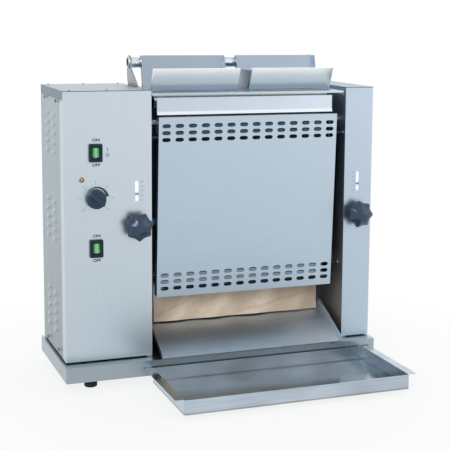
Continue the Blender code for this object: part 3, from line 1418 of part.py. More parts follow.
def pinion_place():
    """The pinion meshes with the front drive gear, below and behind it."""
    reach = DRIVE_GEAR_RADIUS + PINION_RADIUS
    angle = PINION_ANGLE * DEGREE
    return FRONT_AXIS_Y + reach * math.cos(angle), DRIVE_Z - reach * math.sin(angle)


def idler_gear_place():
    """The idler gear meshes with the pinion and the rear drive gear: where two circles cross, the lower point."""
    pinion = Vector(pinion_place())
    rear = Vector((REAR_AXIS_Y, DRIVE_Z))
    to_pinion = PINION_RADIUS + IDLER_GEAR_RADIUS
    to_rear = DRIVE_GEAR_RADIUS + IDLER_GEAR_RADIUS
    between = rear - pinion
    distance = between.length
    along = (to_pinion ** 2 - to_rear ** 2 + distance ** 2) / (2 * distance)
    across = math.sqrt(to_pinion ** 2 - along ** 2)
    unit = between.normalized()
    place = pinion + unit * along + Vector((unit.y, -unit.x)) * across
    return place.x, place.y


def gear_outline(teeth, phase):
    """Straight-flanked teeth on a pitch circle, one tooth centred at the phase angle in radians."""
    pitch_radius = GEAR_MODULE * teeth / 2
    tip = pitch_radius + GEAR_MODULE * TOOTH_ABOVE_SHARE
    root = pitch_radius - GEAR_MODULE * TOOTH_BELOW_SHARE
    step = 2 * math.pi / teeth
    half_tooth = step / 4 * (1 - GEAR_BACKLASH_SHARE)
    half_at_tip = half_tooth * TOOTH_TIP_SHARE
    half_at_root = half_tooth * TOOTH_ROOT_SHARE
    loop = []
    for i in range(teeth):
        middle = phase + i * step
        for radius, offset in ((root, -half_at_root), (tip, -half_at_tip), (tip, half_at_tip), (root, half_at_root)):
            loop.append((radius * math.cos(middle + offset), radius * math.sin(middle + offset)))
    return loop


def meshing_phase(teeth, place, other_teeth, other_place, other_phase):
    """The phase that puts a gap of this gear over the tooth of another on their line of centres."""
    line = math.atan2(other_place[1] - place[1], other_place[0] - place[0])
    other_line = line + math.pi
    other_step = 2 * math.pi / other_teeth
    past_tooth = (other_line - other_phase) / other_step
    past_tooth -= math.floor(past_tooth)
    step = 2 * math.pi / teeth
    return line + step * (past_tooth + 1 / 2)


def make_gear(name, teeth, place, phase, bore_radius, low_x, high_x, hub_side):
    """A gear about X at its own axis, with a hub on one side and a bore, or solid with no bore."""
    gear = shop.part(name, flat_shape([gear_outline(teeth, phase)], "YZ", low_x, high_x), "gear_steel", (0, *place))
    hub_low = low_x - GEAR_HUB if hub_side < 0 else high_x - GEAR_HUB / 2
    hub_high = low_x + GEAR_HUB / 2 if hub_side < 0 else high_x + GEAR_HUB
    shop.join(gear, [rod_along("X", (0, 0, 0), hub_low, hub_high, GEAR_HUB_RADIUS)], (0, *place))
    if bore_radius:
        bore = rod_along("X", (0, 0, 0), low_x - 2 * GEAR_HUB, high_x + 2 * GEAR_HUB, bore_radius, FINE_SIDES)
        shop.cut(gear, [bore], (0, *place))
    return gear


def make_drive_train():
    front = (FRONT_AXIS_Y, DRIVE_Z)
    rear = (REAR_AXIS_Y, DRIVE_Z)
    pinion = pinion_place()
    idler = idler_gear_place()
    front_phase = 0
    pinion_phase = meshing_phase(PINION_TEETH, pinion, DRIVE_GEAR_TEETH, front, front_phase)
    idler_phase = meshing_phase(IDLER_GEAR_TEETH, idler, PINION_TEETH, pinion, pinion_phase)
    rear_phase = meshing_phase(DRIVE_GEAR_TEETH, rear, IDLER_GEAR_TEETH, idler, idler_phase)
    seat = SHAFT_RADIUS + SEAM
    low_x, high_x = GEAR_LOW_X, GEAR_HIGH_X
    make_gear("front_drive_gear", DRIVE_GEAR_TEETH, front, front_phase, seat, low_x, high_x, 1)
    make_gear("rear_drive_gear", DRIVE_GEAR_TEETH, rear, rear_phase, seat, low_x, high_x, 1)
    make_gear("idler_gear", IDLER_GEAR_TEETH, idler, idler_phase, AXLE_RADIUS + SHAFT_WALL_PLAY, low_x, high_x, 1)
    pinion_gear = shop.part(
        "motor_pinion", flat_shape([gear_outline(PINION_TEETH, pinion_phase)], "YZ", low_x, high_x),
        "gear_steel", (0, *pinion),
    )
    shaft = rod_along("X", (0, 0, 0), MOTOR_PLATE_X - GEARBOX_DEPTH / 2, low_x + GEAR_HUB, AXLE_RADIUS)
    shop.join(pinion_gear, [shaft], (0, *pinion))


def make_drive_motor():
    """A gearmotor: mounting plate on three posts, gearbox and motor can, with a bore for the pinion's shaft."""
    pinion = pinion_place()
    margin = MOTOR_PLATE_MARGIN
    low_y = FRONT_AXIS_Y
    high_y = REAR_AXIS_Y
    low_z = pinion[1] - GEARBOX_HALF - margin
    high_z = DRIVE_Z + BOSS_RADIUS
    outline = rounded_rectangle((low_y - margin, low_z - margin), (high_y + margin, high_z + margin), margin)
    plate = flat_shape([outline], "YZ", MOTOR_PLATE_X - MOTOR_PLATE, MOTOR_PLATE_X)
    motor = shop.part("drive_motor", plate, "motor_grey")
    box_high_x = MOTOR_PLATE_X - MOTOR_PLATE / 2
    box_low_x = MOTOR_PLATE_X - GEARBOX_DEPTH
    box_outline = rounded_rectangle(
        (pinion[0] - GEARBOX_HALF + margin, pinion[1] - GEARBOX_HALF),
        (pinion[0] + GEARBOX_HALF + margin, pinion[1] + GEARBOX_HALF),
        margin,
    )
    gearbox = flat_shape([box_outline], "YZ", box_low_x, box_high_x)
    can = rod_along(
        "X", (0, pinion[0] + MOTOR_OFFSET, pinion[1]), box_low_x - MOTOR_LENGTH, box_low_x + MOTOR_PLATE,
        MOTOR_RADIUS, FINE_SIDES,
    )
    wall_x = -BAY_HALF - WALL_PLATE - SEAM
    posts = [
        rod_along("X", (0, y, z), MOTOR_PLATE_X - MOTOR_PLATE / 2, wall_x, MOTOR_POST_RADIUS)
        for y, z in ((low_y, low_z), (high_y, low_z), (PLATEN_Y, high_z))
    ]
    shop.join(motor, [gearbox, can] + posts)
    bore = rod_along(
        "X", (0, *pinion), MOTOR_PLATE_X - GEARBOX_DEPTH / 2 - RUNNING_GAP, MOTOR_PLATE_X + CUT_OVERRUN,
        AXLE_RADIUS + SHAFT_WALL_PLAY, FINE_SIDES,
    )
    shop.cut(motor, [bore])


# Controls


def make_rocker_switch(word, z):
    """A bezel and body in the panel, and the rocker itself, which tilts about X."""
    x = LEFT_OUTER + ROCKER_X
    half_width, half_height = rocker_body_half()
    bezel = rounded_rectangle(
        (x - ROCKER_BEZEL_WIDTH / 2, z - ROCKER_BEZEL_HEIGHT / 2),
        (x + ROCKER_BEZEL_WIDTH / 2, z + ROCKER_BEZEL_HEIGHT / 2),
        ROCKER_BODY_MARGIN,
    )
    body = shop.part(
        word + "_switch_body",
        flat_shape([bezel], "XZ", -SEAM - ROCKER_BEZEL_DEPTH, -SEAM),
        "black_plastic",
    )
    shop.join(body, [box(
        (x - half_width, -SEAM - ROCKER_BEZEL_DEPTH / 2, z - half_height),
        (x + half_width, ROCKER_BODY_DEPTH, z + half_height),
    )])
    cavity_half_height = ROCKER_RADIUS + RUNNING_GAP
    shop.cut(body, [box(
        (x - ROCKER_WIDTH / 2 - SEAM, -ROCKER_BEZEL_DEPTH - CUT_OVERRUN, z - cavity_half_height),
        (x + ROCKER_WIDTH / 2 + SEAM, ROCKER_CAVITY_DEPTH, z + cavity_half_height),
    )])
    rise = math.asin(ROCKER_FACE / ROCKER_RADIUS) / DEGREE
    drop = math.asin(ROCKER_BACK / ROCKER_RADIUS) / DEGREE
    outline = arc((0, 0), ROCKER_RADIUS, 90 - drop, 90 + rise, 2)
    outline += [(-ROCKER_FACE + ROCKER_DISH, 0)]
    outline += arc((0, 0), ROCKER_RADIUS, 270 - rise, 270 + drop, 2)
    tilted = []
    for y, height in outline:
        spun = Matrix.Rotation(-ROCKER_TILT * DEGREE, 2) @ Vector((y, height))
        tilted.append((spun.x, spun.y))
    rocker = flat_shape([tilted], "YZ", -ROCKER_WIDTH / 2, ROCKER_WIDTH / 2)
    shop.part(word + "_rocker", rocker, "green_lens", (x, ROCKER_BACK / 2, z))


def make_heat_lamp():
    """The lamp's dome, neck and body in one turned piece, its axis towards the front."""
    place = (LEFT_OUTER + LAMP_X, 0, LAMP_Z)
    profile = [
        (0, LAMP_DOME),
        (LAMP_RADIUS * LAMP_CROWN_RADIUS_SHARE, LAMP_DOME * LAMP_CROWN_HEIGHT_SHARE),
        (LAMP_RADIUS, LAMP_DOME * LAMP_RIM_HEIGHT_SHARE),
        (LAMP_RADIUS, SEAM),
        (LAMP_NECK_RADIUS, SEAM),
        (LAMP_NECK_RADIUS, -LAMP_BODY_DEPTH),
        (0, -LAMP_BODY_DEPTH),
    ]
    shop.turned("heat_lamp", profile, "amber_lens", place, (math.pi / 2, 0, 0))


def make_temperature_dial():
    place = (LEFT_OUTER + DIAL_X, 0, DIAL_Z)
    profile = [
        (0, DIAL_SKIRT),
        (DIAL_RADIUS - DIAL_EDGE, DIAL_SKIRT),
        (DIAL_RADIUS, DIAL_SKIRT - DIAL_EDGE),
        (DIAL_RADIUS, RUNNING_GAP),
        (DIAL_SHAFT_RADIUS, RUNNING_GAP),
        (DIAL_SHAFT_RADIUS, -DIAL_SHAFT_REACH),
        (0, -DIAL_SHAFT_REACH),
    ]
    dial = shop.turned("temperature_dial", profile, "black_plastic", place, (math.pi / 2, 0, 0), FINE_SIDES)
    grip = oblong((0, 0), 2 * DIAL_RADIUS - DIAL_EDGE, DIAL_GRIP_WIDTH, SLOT_ARC_POINTS, 180 - DIAL_REST_ANGLE)
    shop.join(dial, [flat_shape([grip], "XZ", -DIAL_HEIGHT, DIAL_EDGE - DIAL_SKIRT)], place)


def make_thermostat():
    place = (LEFT_OUTER + DIAL_X, 0, DIAL_Z)
    front = -SHEET - SEAM
    profile = [
        (0, front),
        (THERMOSTAT_COLLAR_RADIUS, front),
        (THERMOSTAT_COLLAR_RADIUS, front - THERMOSTAT_COLLAR),
        (THERMOSTAT_RADIUS, front - THERMOSTAT_COLLAR),
        (THERMOSTAT_RADIUS, front - THERMOSTAT_DEPTH),
        (0, front - THERMOSTAT_DEPTH),
    ]
    body = shop.turned("thermostat", profile, "motor_grey", place, (math.pi / 2, 0, 0))
    bore = rod_along("Y", place, 0, DIAL_SHAFT_REACH + CUT_OVERRUN, DIAL_SHAFT_RADIUS + SHAFT_WALL_PLAY)
    shop.cut(body, [bore])


def star_ring(scale, y, tip_angle):
    """Points of the scalloped outline at a depth, scaled towards the axis, one tip at an angle in degrees."""
    points = []
    for i in range(STAR_LOBES * STAR_LOBE_POINTS):
        share = i / (STAR_LOBES * STAR_LOBE_POINTS)
        fall = abs(math.sin(math.pi * STAR_LOBES * share))
        radius = (STAR_RADIUS - STAR_SCALLOP * fall) * scale
        angle = 2 * math.pi * share + tip_angle * DEGREE
        points.append((radius * math.cos(angle), y, radius * math.sin(angle)))
    return points


def make_star_knob(word, side, tip_angle, screw_end):
    """A seven-lobed knob on a hub, with its lead screw, all turning about Y."""
    place = (side * STAR_X, 0, STAR_Z)
    steps = [
        (STAR_EDGE_SHARE, -STAR_HEAD_BACK),
        (1, -STAR_HEAD_BACK - STAR_EDGE),
        (1, -STAR_HEAD_FRONT + STAR_DOME),
        (STAR_EDGE_SHARE, -STAR_HEAD_FRONT + STAR_DOME - STAR_EDGE),
        (STAR_CAP_SHARE, -STAR_HEAD_FRONT),
    ]
    rings = [star_ring(scale, y, tip_angle) for scale, y in steps]
    knob = shop.part(word + "_star_knob", loft(rings, True, True, True), "black_plastic", place)
    hub = rod_along("Y", (0, 0, 0), -STAR_HEAD_BACK - STAR_EDGE, -RUNNING_GAP - SEAM, STAR_HUB_RADIUS)
    screw = rod_along("Y", (0, 0, 0), -STAR_HEAD_BACK, screw_end, SCREW_RADIUS)
    shop.join(knob, [hub, screw], place)


def make_gauge(word, side):
    """A hat-shaped scale plate behind the panel, with the pointer sliding inside it."""
    x = side * STAR_X
    inner = GAUGE_WIDTH / 2 + GAUGE_PLATE_MARGIN
    front = SHEET + SEAM
    plan = [
        (x - inner - GAUGE_PLATE_FLANGE, front),
        (x - inner, front),
        (x - inner, front + GAUGE_PLATE_DEPTH),
        (x + inner, front + GAUGE_PLATE_DEPTH),
        (x + inner, front),
        (x + inner + GAUGE_PLATE_FLANGE, front),
    ]
    low_z = GAUGE_Z - GAUGE_HEIGHT / 2 - GAUGE_PLATE_MARGIN
    high_z = GAUGE_Z + GAUGE_HEIGHT / 2 + GAUGE_PLATE_MARGIN
    plate = shop.part(word + "_gauge_plate", upright(plan, low_z, high_z), "white_plate")
    shop.wall(plate, GAUGE_PLATE_THICKNESS)
    half_width = inner - GAUGE_PLATE_THICKNESS - RUNNING_GAP
    slide = box(
        (-half_width, front, -POINTER_HEIGHT / 2), (half_width, front + POINTER_THICKNESS, POINTER_HEIGHT / 2),
    )
    pointer = shop.part(word + "_gauge_pointer", slide, "dark_pointer", (x, 0, POINTER_Z))
    bar_half = GAUGE_WIDTH / 2 - RUNNING_GAP
    bar = box((-bar_half, SHEET / 3, -POINTER_BAR / 2), (bar_half, front + POINTER_THICKNESS / 2, POINTER_BAR / 2))
    shop.join(pointer, [bar], (x, 0, POINTER_Z))


# Inlet


def make_cord_gland():
    """A cable gland on the rear wall: nut and shank inside, hexagon and dome outside, bored through."""
    place = (LEFT_OUTER + GLAND_X, HOUSING_DEPTH, GLAND_Z)
    shank_end = -SHEET - SEAM
    profile = [
        (0, GLAND_REACH),
        (GLAND_NECK_RADIUS - FOOT_EDGE, GLAND_REACH),
        (GLAND_NECK_RADIUS, GLAND_REACH - FOOT_EDGE),
        (GLAND_NECK_RADIUS, GLAND_HEX),
        (GLAND_RADIUS, GLAND_HEX),
        (GLAND_RADIUS, SEAM),
        (GLAND_SHANK_RADIUS, SEAM),
        (GLAND_SHANK_RADIUS, shank_end),
        (GLAND_NUT_RADIUS, shank_end),
        (GLAND_NUT_RADIUS, shank_end - GLAND_NUT),
        (GLAND_SHANK_RADIUS, shank_end - GLAND_NUT),
        (GLAND_SHANK_RADIUS, shank_end - GLAND_SHANK),
        (0, shank_end - GLAND_SHANK),
    ]
    gland = shop.turned("cord_gland", profile, "black_plastic", place, (-math.pi / 2, 0, 0), FINE_SIDES // 2)
    bore_low = place[1] + shank_end - GLAND_SHANK - CUT_OVERRUN
    shop.cut(gland, [rod_along("Y", place, bore_low, GLAND_END_Y + CUT_OVERRUN, GLAND_BORE_RADIUS)])


def make_terminal_block():
    """A row of screw terminals standing on the deck beside the gland."""
    x = LEFT_OUTER + GLAND_X
    y = HOUSING_DEPTH - TERMINAL_FROM_REAR
    block = shop.part("terminal_block", box(
        (x - TERMINAL_WIDTH / 2, y - TERMINAL_DEPTH / 2, SEAM),
        (x + TERMINAL_WIDTH / 2, y + TERMINAL_DEPTH / 2, TERMINAL_HEIGHT),
    ), "terminal_cream")
    pitch = TERMINAL_WIDTH / TERMINAL_WAYS
    grooves = []
    for i in range(TERMINAL_WAYS):
        middle = x - TERMINAL_WIDTH / 2 + pitch * (i + 1 / 2)
        grooves.append(box(
            (middle - TERMINAL_GROOVE / 2, y - TERMINAL_DEPTH, TERMINAL_HEIGHT / 2),
            (middle + TERMINAL_GROOVE / 2, y + TERMINAL_DEPTH, TERMINAL_HEIGHT + CUT_OVERRUN),
        ))
    shop.cut(block, grooves)


# Chute and tray


def make_discharge_chute():
    """A bowed slide with upturned cheeks and a rear leg that stands on the deck."""
    rear_leg = (CHUTE_REAR_Y, SEAM)
    span = CHUTE_REAR_Y + BASE_FRONT_OVERHANG
    path = [rear_leg]
    for i in range(CHUTE_STEPS, -1, -1):
        y = -BASE_FRONT_OVERHANG + span * i / CHUTE_STEPS
        path.append((y, chute_z(y)))
    points = [(-CHUTE_HALF_WIDTH, y, z) for y, z in path]
    chute = shop.part("discharge_chute", strip(points, (2 * CHUTE_HALF_WIDTH, 0, 0)), "stainless")
    shop.wall(chute, SHEET)
    crest = [(y, z - SHEET / 2) for y, z in path[1:]]
    cheek = crest + [(y, z + CHUTE_CHEEK) for y, z in reversed(crest)]
    cheeks = [
        flat_shape([cheek], "YZ", -CHUTE_HALF_WIDTH, SHEET - CHUTE_HALF_WIDTH),
        flat_shape([cheek], "YZ", CHUTE_HALF_WIDTH - SHEET, CHUTE_HALF_WIDTH),
    ]
    shop.join(chute, cheeks)


def tray_tongue_spans():
    """The tray's side rims in x, left and right."""
    return [(TRAY_LEFT - TRAY_RIM, TRAY_LEFT), (TRAY_RIGHT, TRAY_RIGHT + TRAY_RIM)]


def make_tray():
    """A welded pan with side rims that run back as tongues into the base."""
    low = (TRAY_LEFT, TRAY_FRONT_Y)
    high = (TRAY_RIGHT, TRAY_REAR_Y)
    outline = rounded_rectangle(low, high, TRAY_CORNER_RADIUS)
    floor_z = TRAY_RIM_Z - TRAY_WALL
    rings = [[(x, y, floor_z) for x, y in outline], [(x, y, TRAY_RIM_Z) for x, y in outline]]
    tray = shop.part("discharge_tray", loft(rings, closed=True, first_cap=True), "stainless")
    shop.wall(tray, SHEET)
    tongues = []
    for (low_x, high_x), side in zip(tray_tongue_spans(), (-1, 1)):
        lap = side * SHEET / 2
        tongues.append(box(
            (min(low_x, low_x - lap), TRAY_FRONT_Y + TRAY_CORNER_RADIUS, TRAY_RIM_Z - SHEET),
            (max(high_x, high_x - lap), TRAY_REAR_Y + TRAY_TONGUE - WALL_PLATE, TRAY_RIM_Z),
        ))
    shop.join(tray, tongues)


def smooth_round_pieces():
    """Round faces shade smooth; flat sheets and blocks keep flat faces."""
    for part in shop.parts.objects:
        if part.type == "MESH" and part.name.endswith(ROUND_PIECES):
            part.data.shade_smooth()
            part.data.set_sharp_from_angle(angle=SMOOTH_ANGLE * DEGREE)


def main():
    add_materials()
    make_base()
    make_feet()
    make_left_front_panel()
    make_right_front_panel()
    make_left_side_cover()
    make_side_cover("right_side_cover", 1)
    make_left_lid()
    make_lid("right_top_lid", 1)
    make_inner_wall("left_inner_wall", -1)
    make_inner_wall("right_inner_wall", 1)
    make_rear_cover()
    make_front_cover()
    make_upper_band()
    make_bun_deck()
    make_feeder_frame()
    make_feeder_plates()
    make_rod()
    make_left_rod_arm()
    make_right_rod_arm()
    make_platen()
    make_heating_element()
    make_platen_cap()
    make_release_sheet("front_release_sheet", PLATEN_FRONT_Y, -1)
    make_release_sheet("rear_release_sheet", PLATEN_REAR_Y, 1)
    make_conveyors()
    make_drive_train()
    make_drive_motor()
    make_rocker_switch("power", POWER_ROCKER_Z)
    make_rocker_switch("conveyor", CONVEYOR_ROCKER_Z)
    make_heat_lamp()
    make_temperature_dial()
    make_thermostat()
    make_star_knob("left", -1, LEFT_STAR_TIP_ANGLE, FRONT_AXIS_Y + SCREW_PAST_ARM)
    make_star_knob("right", 1, RIGHT_STAR_TIP_ANGLE, REAR_AXIS_Y + SCREW_PAST_ARM)
    make_gauge("left", -1)
    make_gauge("right", 1)
    make_cord_gland()
    make_terminal_block()
    make_discharge_chute()
    make_tray()
    smooth_round_pieces()


main()
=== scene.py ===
import json
import math

import bmesh
import bpy
from mathutils import Matrix, Vector, noise


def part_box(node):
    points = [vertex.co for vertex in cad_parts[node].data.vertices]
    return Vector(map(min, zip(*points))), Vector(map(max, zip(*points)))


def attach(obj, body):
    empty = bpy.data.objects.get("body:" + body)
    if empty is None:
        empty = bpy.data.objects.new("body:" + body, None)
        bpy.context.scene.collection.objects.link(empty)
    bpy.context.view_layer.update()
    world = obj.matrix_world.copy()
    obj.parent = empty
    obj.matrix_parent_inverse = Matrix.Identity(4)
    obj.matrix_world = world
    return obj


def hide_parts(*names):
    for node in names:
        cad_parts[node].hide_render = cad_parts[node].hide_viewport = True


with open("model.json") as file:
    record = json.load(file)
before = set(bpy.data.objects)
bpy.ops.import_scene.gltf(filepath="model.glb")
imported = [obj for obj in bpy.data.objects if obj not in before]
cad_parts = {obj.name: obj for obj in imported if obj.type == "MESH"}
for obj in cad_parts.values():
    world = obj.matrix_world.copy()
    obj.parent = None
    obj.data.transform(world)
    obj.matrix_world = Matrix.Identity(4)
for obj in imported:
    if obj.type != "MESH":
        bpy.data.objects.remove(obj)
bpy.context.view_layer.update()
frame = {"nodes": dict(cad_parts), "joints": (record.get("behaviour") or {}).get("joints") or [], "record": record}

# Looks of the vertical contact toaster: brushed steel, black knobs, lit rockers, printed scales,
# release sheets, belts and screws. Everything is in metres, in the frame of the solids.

MM = 0.001
DEGREE = math.pi / 180
FULL_TURN = 2 * math.pi

# The machine's place: middle of the open bay, front faces of the housings, deck of the base
BAY = Vector((50.5, 1, 46)) * MM
HOUSING_SPAN = (BAY.z, BAY.z + 468 * MM)
FLAP_SPAN = (BAY.z + 466 * MM, BAY.z + 492 * MM)
LIP_SPAN = (BAY.z + 427.8 * MM, BAY.z + 429 * MM)
PLATEN_BOTTOM_Z = BAY.z + 105 * MM

# Meshes: welding of the CAD nodes' triangles, and the angles that count as flat, eased and creased
WELD = 0.002 * MM
FLAT_ANGLE = 0.4
EASED_ANGLE = 28
CREASE_ANGLE = 40
CLOTH_CREASE_ANGLE = 70


# Node trees

MIX_FACTOR = 0
MIX_FIRST = 6
MIX_SECOND = 7
MIX_RESULT = 2


class Socket:
    """A node's output. Sums and products of it add Math nodes to its tree."""

    def __init__(self, graph, end):
        self.graph = graph
        self.end = end

    def maths(self, operation, *values):
        return self.graph.node("ShaderNodeMath", {"operation": operation}, dict(enumerate(values)))

    def __add__(self, other):
        return self.maths("ADD", self, other)

    def __sub__(self, other):
        return self.maths("SUBTRACT", self, other)

    def __rsub__(self, other):
        return self.maths("SUBTRACT", other, self)

    def __mul__(self, other):
        return self.maths("MULTIPLY", self, other)

    def __truediv__(self, other):
        return self.maths("DIVIDE", self, other)

    def __rtruediv__(self, other):
        return self.maths("DIVIDE", other, self)

    __radd__ = __add__
    __rmul__ = __mul__

    def magnitude(self):
        return self.maths("ABSOLUTE", self)

    def sign(self):
        return self.maths("SIGN", self)

    def most(self, other):
        return self.maths("MAXIMUM", self, other)

    def above(self, level):
        """How far this value stands over a level, and 0 where it is lower."""
        return (self - level).most(0)

    def wave(self):
        """Goes up and down between 0 and 1, once for each full turn of this value."""
        return (self.maths("SINE", self) + 1) * 0.5

    def ridges(self):
        """Goes down from 1 to 0 and back, in straight lines, once for each 1 of this value."""
        return (self.maths("FRACT", self) - 0.5).magnitude() * 2

    def eased(self, low, high, out_low=0, out_high=1):
        """Goes smoothly from one value to another as this one goes from low to high."""
        settings = {"interpolation_type": "SMOOTHSTEP"}
        values = {"Value": self, "From Min": low, "From Max": high, "To Min": out_low, "To Max": out_high}
        return self.graph.node("ShaderNodeMapRange", settings, values)


class Graph:
    """A node tree, and the one method that adds a node to it."""

    def __init__(self, tree):
        self.tree = tree

    def node(self, kind, settings=None, values=None, output=0):
        """Adds a node: its settings first, then the values and links of its sockets."""
        made = self.tree.nodes.new(kind)
        for name, setting in (settings or {}).items():
            setattr(made, name, setting)
        for key, value in (values or {}).items():
            self.put(value, made.inputs[key])
        return Socket(self, made.outputs[output]) if made.outputs else made

    def put(self, value, end):
        """Links a socket, or each socket of a list, to an input, or sets the input's own value."""
        if isinstance(value, Socket):
            self.tree.links.new(value.end, end)
        elif isinstance(value, list):
            for each in value:
                self.put(each, end)
        else:
            end.default_value = value


class Finish(Graph):
    """A material: a Principled shader whose inputs are painted from nodes or set plainly."""

    def __init__(self, name, **plain):
        self.material = bpy.data.materials.new(name)
        self.material.use_nodes = True
        super().__init__(self.material.node_tree)
        self.tree.nodes.clear()
        self.shader = self.node("ShaderNodeBsdfPrincipled")
        self.out = self.node("ShaderNodeOutputMaterial", values={"Surface": self.shader})
        self.place = self.node("ShaderNodeTexCoord", output="Object")
        self.paint(**plain)

    def paint(self, **painted):
        """Sets or links the shader's inputs, each named in lower case with underlines."""
        for key, value in painted.items():
            name = key.replace("_", " ").title().replace("Ior", "IOR")
            self.put(value, self.shader.end.node.inputs[name])
        return self.material

    def along(self, axis):
        return self.node("ShaderNodeSeparateXYZ", values={0: self.place}, output=axis)

    def noise(self, scale, detail=2, roughness=0.5, stretch=(1, 1, 1)):
        """Cloudy noise with a scale in waves per metre, drawn out by an unequal stretch."""
        place = self.node("ShaderNodeMapping", values={"Vector": self.place, "Scale": stretch})
        values = {"Vector": place, "Scale": scale, "Detail": detail, "Roughness": roughness}
        return self.node("ShaderNodeTexNoise", values=values)

    def mix(self, factor, first, second):
        """A colour between two colours."""
        values = {MIX_FACTOR: factor, MIX_FIRST: first, MIX_SECOND: second}
        return self.node("ShaderNodeMix", {"data_type": "RGBA"}, values, MIX_RESULT)

    def layered(self, tint, *layers):
        """A colour under other colours, each with the share that it covers."""
        for cover, colour in layers:
            tint = self.mix(cover, tint, colour)
        return tint

    def bump(self, height, depth, strength=1, under=None):
        values = {"Height": height, "Distance": depth, "Strength": strength}
        if under:
            values["Normal"] = under
        return self.node("ShaderNodeBump", values=values)

    def grained(self, grain):
        """The streaks of brushing, and the fine scratches that they leave."""
        streaks = self.noise(1, 3, 0.65, GRAIN[grain])
        return streaks, self.bump(streaks, SCRATCH_DEPTH, 0.2)


def tone(red, green, blue):
    """A screen colour, each part up to 255, as the linear colour that a shader takes."""
    linear = []
    for part in (red, green, blue):
        share = part / 255
        linear.append(share / 12.92 if share <= 0.04045 else ((share + 0.055) / 1.055) ** 2.4)
    return (*linear, 1)


def shaded(colour, share, lift=0):
    """A colour made darker, or paler by a lift."""
    return (*(lift + share * part for part in colour[:3]), 1)


# Finishes

GRAIN = {"upright": (900, 900, 9), "across": (9, 900, 900), "none": (160, 160, 160)}
SCRATCH_DEPTH = 0.012 * MM
DENT_DEPTH = 1.2 * MM
CLOUDING = 0.35

# Brushed steel: finish, tone high up, tone low down, roughness and grain, and where they aren't the usual ones,
# the clouding between the tones and the heights that they change over. The change of tone with height is painted
# light and shade, and the front panels, sides and lids are copies of one steel in tones set for how light falls on
# each.
BRUSHED = (
    ("panel", (200, 211, 220), (193, 206, 215), 0.34, "upright"),
    # painted shade: the right panel is a darker copy of the left panel's steel
    ("right_panel", (178, 191, 206), (178, 195, 209), 0.34, "upright"),
    ("side", (168, 181, 188), (152, 163, 168), 0.4, "upright"),
    ("lid", (138, 149, 155), (138, 149, 155), 0.5, "across"),
    ("base", (160, 172, 178), (160, 173, 180), 0.3, "across"),
    ("cover", (185, 200, 213), (178, 196, 210), 0.36, "across"),
    # painted highlight: the band's lower lip is paler than its face
    ("band", (197, 208, 219), (236, 243, 248), 0.3, "across", 0, LIP_SPAN),
    ("deck", (188, 198, 204), (205, 217, 226), 0.28, "across"),
    ("feeder", (146, 158, 170), (205, 217, 226), 0.34, "across"),
    # painted light and shade: the flaps are a paler copy of the feeder's steel, darker towards their lower edge
    ("flap", (248, 251, 253), (226, 237, 247), 0.3, "across", CLOUDING, FLAP_SPAN),
    # painted shade: the tabs behind the slots are a dark copy of the cover's steel, less dark low down
    ("tab", (58, 70, 88), (124, 138, 154), 0.4, "across"),
    # painted highlight: the louvre hoods are a paler copy of the side's steel
    ("hood", (180, 192, 197), (172, 183, 187), 0.36, "upright"),
    # painted shade: the rear chute plates are a darker copy of the flaps' steel
    ("plate", (152, 165, 178), (152, 165, 178), 0.34, "across"),
    ("arm", (150, 158, 162), (205, 217, 226), 0.32, "upright"),
    ("rod", (210, 216, 222), (205, 217, 226), 0.3, "across"),
    ("conveyor", (84, 116, 146), (64, 80, 96), 0.4, "upright"),
    ("gear", (150, 152, 154), (150, 152, 154), 0.3, "none"),
)

TRAY_FLOOR_SPAN = (2 * MM, 4 * MM)
# Painted light and reflection on the chute: where it brightens to the right, the shares of its height where the
# upper tones come in, and how far their edge wobbles
CHUTE_BRIGHT_SPAN = (BAY.x + 10 * MM, BAY.x + 140 * MM)
CHUTE_UPPER_SHARES = (0.35, 0.65)
CHUTE_WOBBLE_REACH = 60 * MM
PEG_SPAN = (180.4 * MM, 181.4 * MM)
PLATEN_HEAT_SPAN = (PLATEN_BOTTOM_Z, PLATEN_BOTTOM_Z + 155 * MM)
THREAD_PITCH = 1.25 * MM
THREAD_DEPTH = 0.4 * MM
POINTER_LINE_SPAN = (0.7 * MM, 0.9 * MM)
BELT_SHADE_SPAN = (BAY.z + 118 * MM, BAY.z + 135 * MM)
CREASE_PITCH = 78 * MM
CREASE_SLANT = 0.9
FAR_CREASE_PITCH = 2.6 * CREASE_PITCH
FAR_CREASE_SLANT = 3
WEAVE = 4200
# Painted shade on the release cloth: towards its right side, and over its upper part held above the platen's lower
# edge
CLOTH_SHADED_SPAN = (BAY.x + 30 * MM, BAY.x + 150 * MM)
CLOTH_HELD_SHADE_SPAN = (PLATEN_BOTTOM_Z, PLATEN_BOTTOM_Z + 16 * MM)


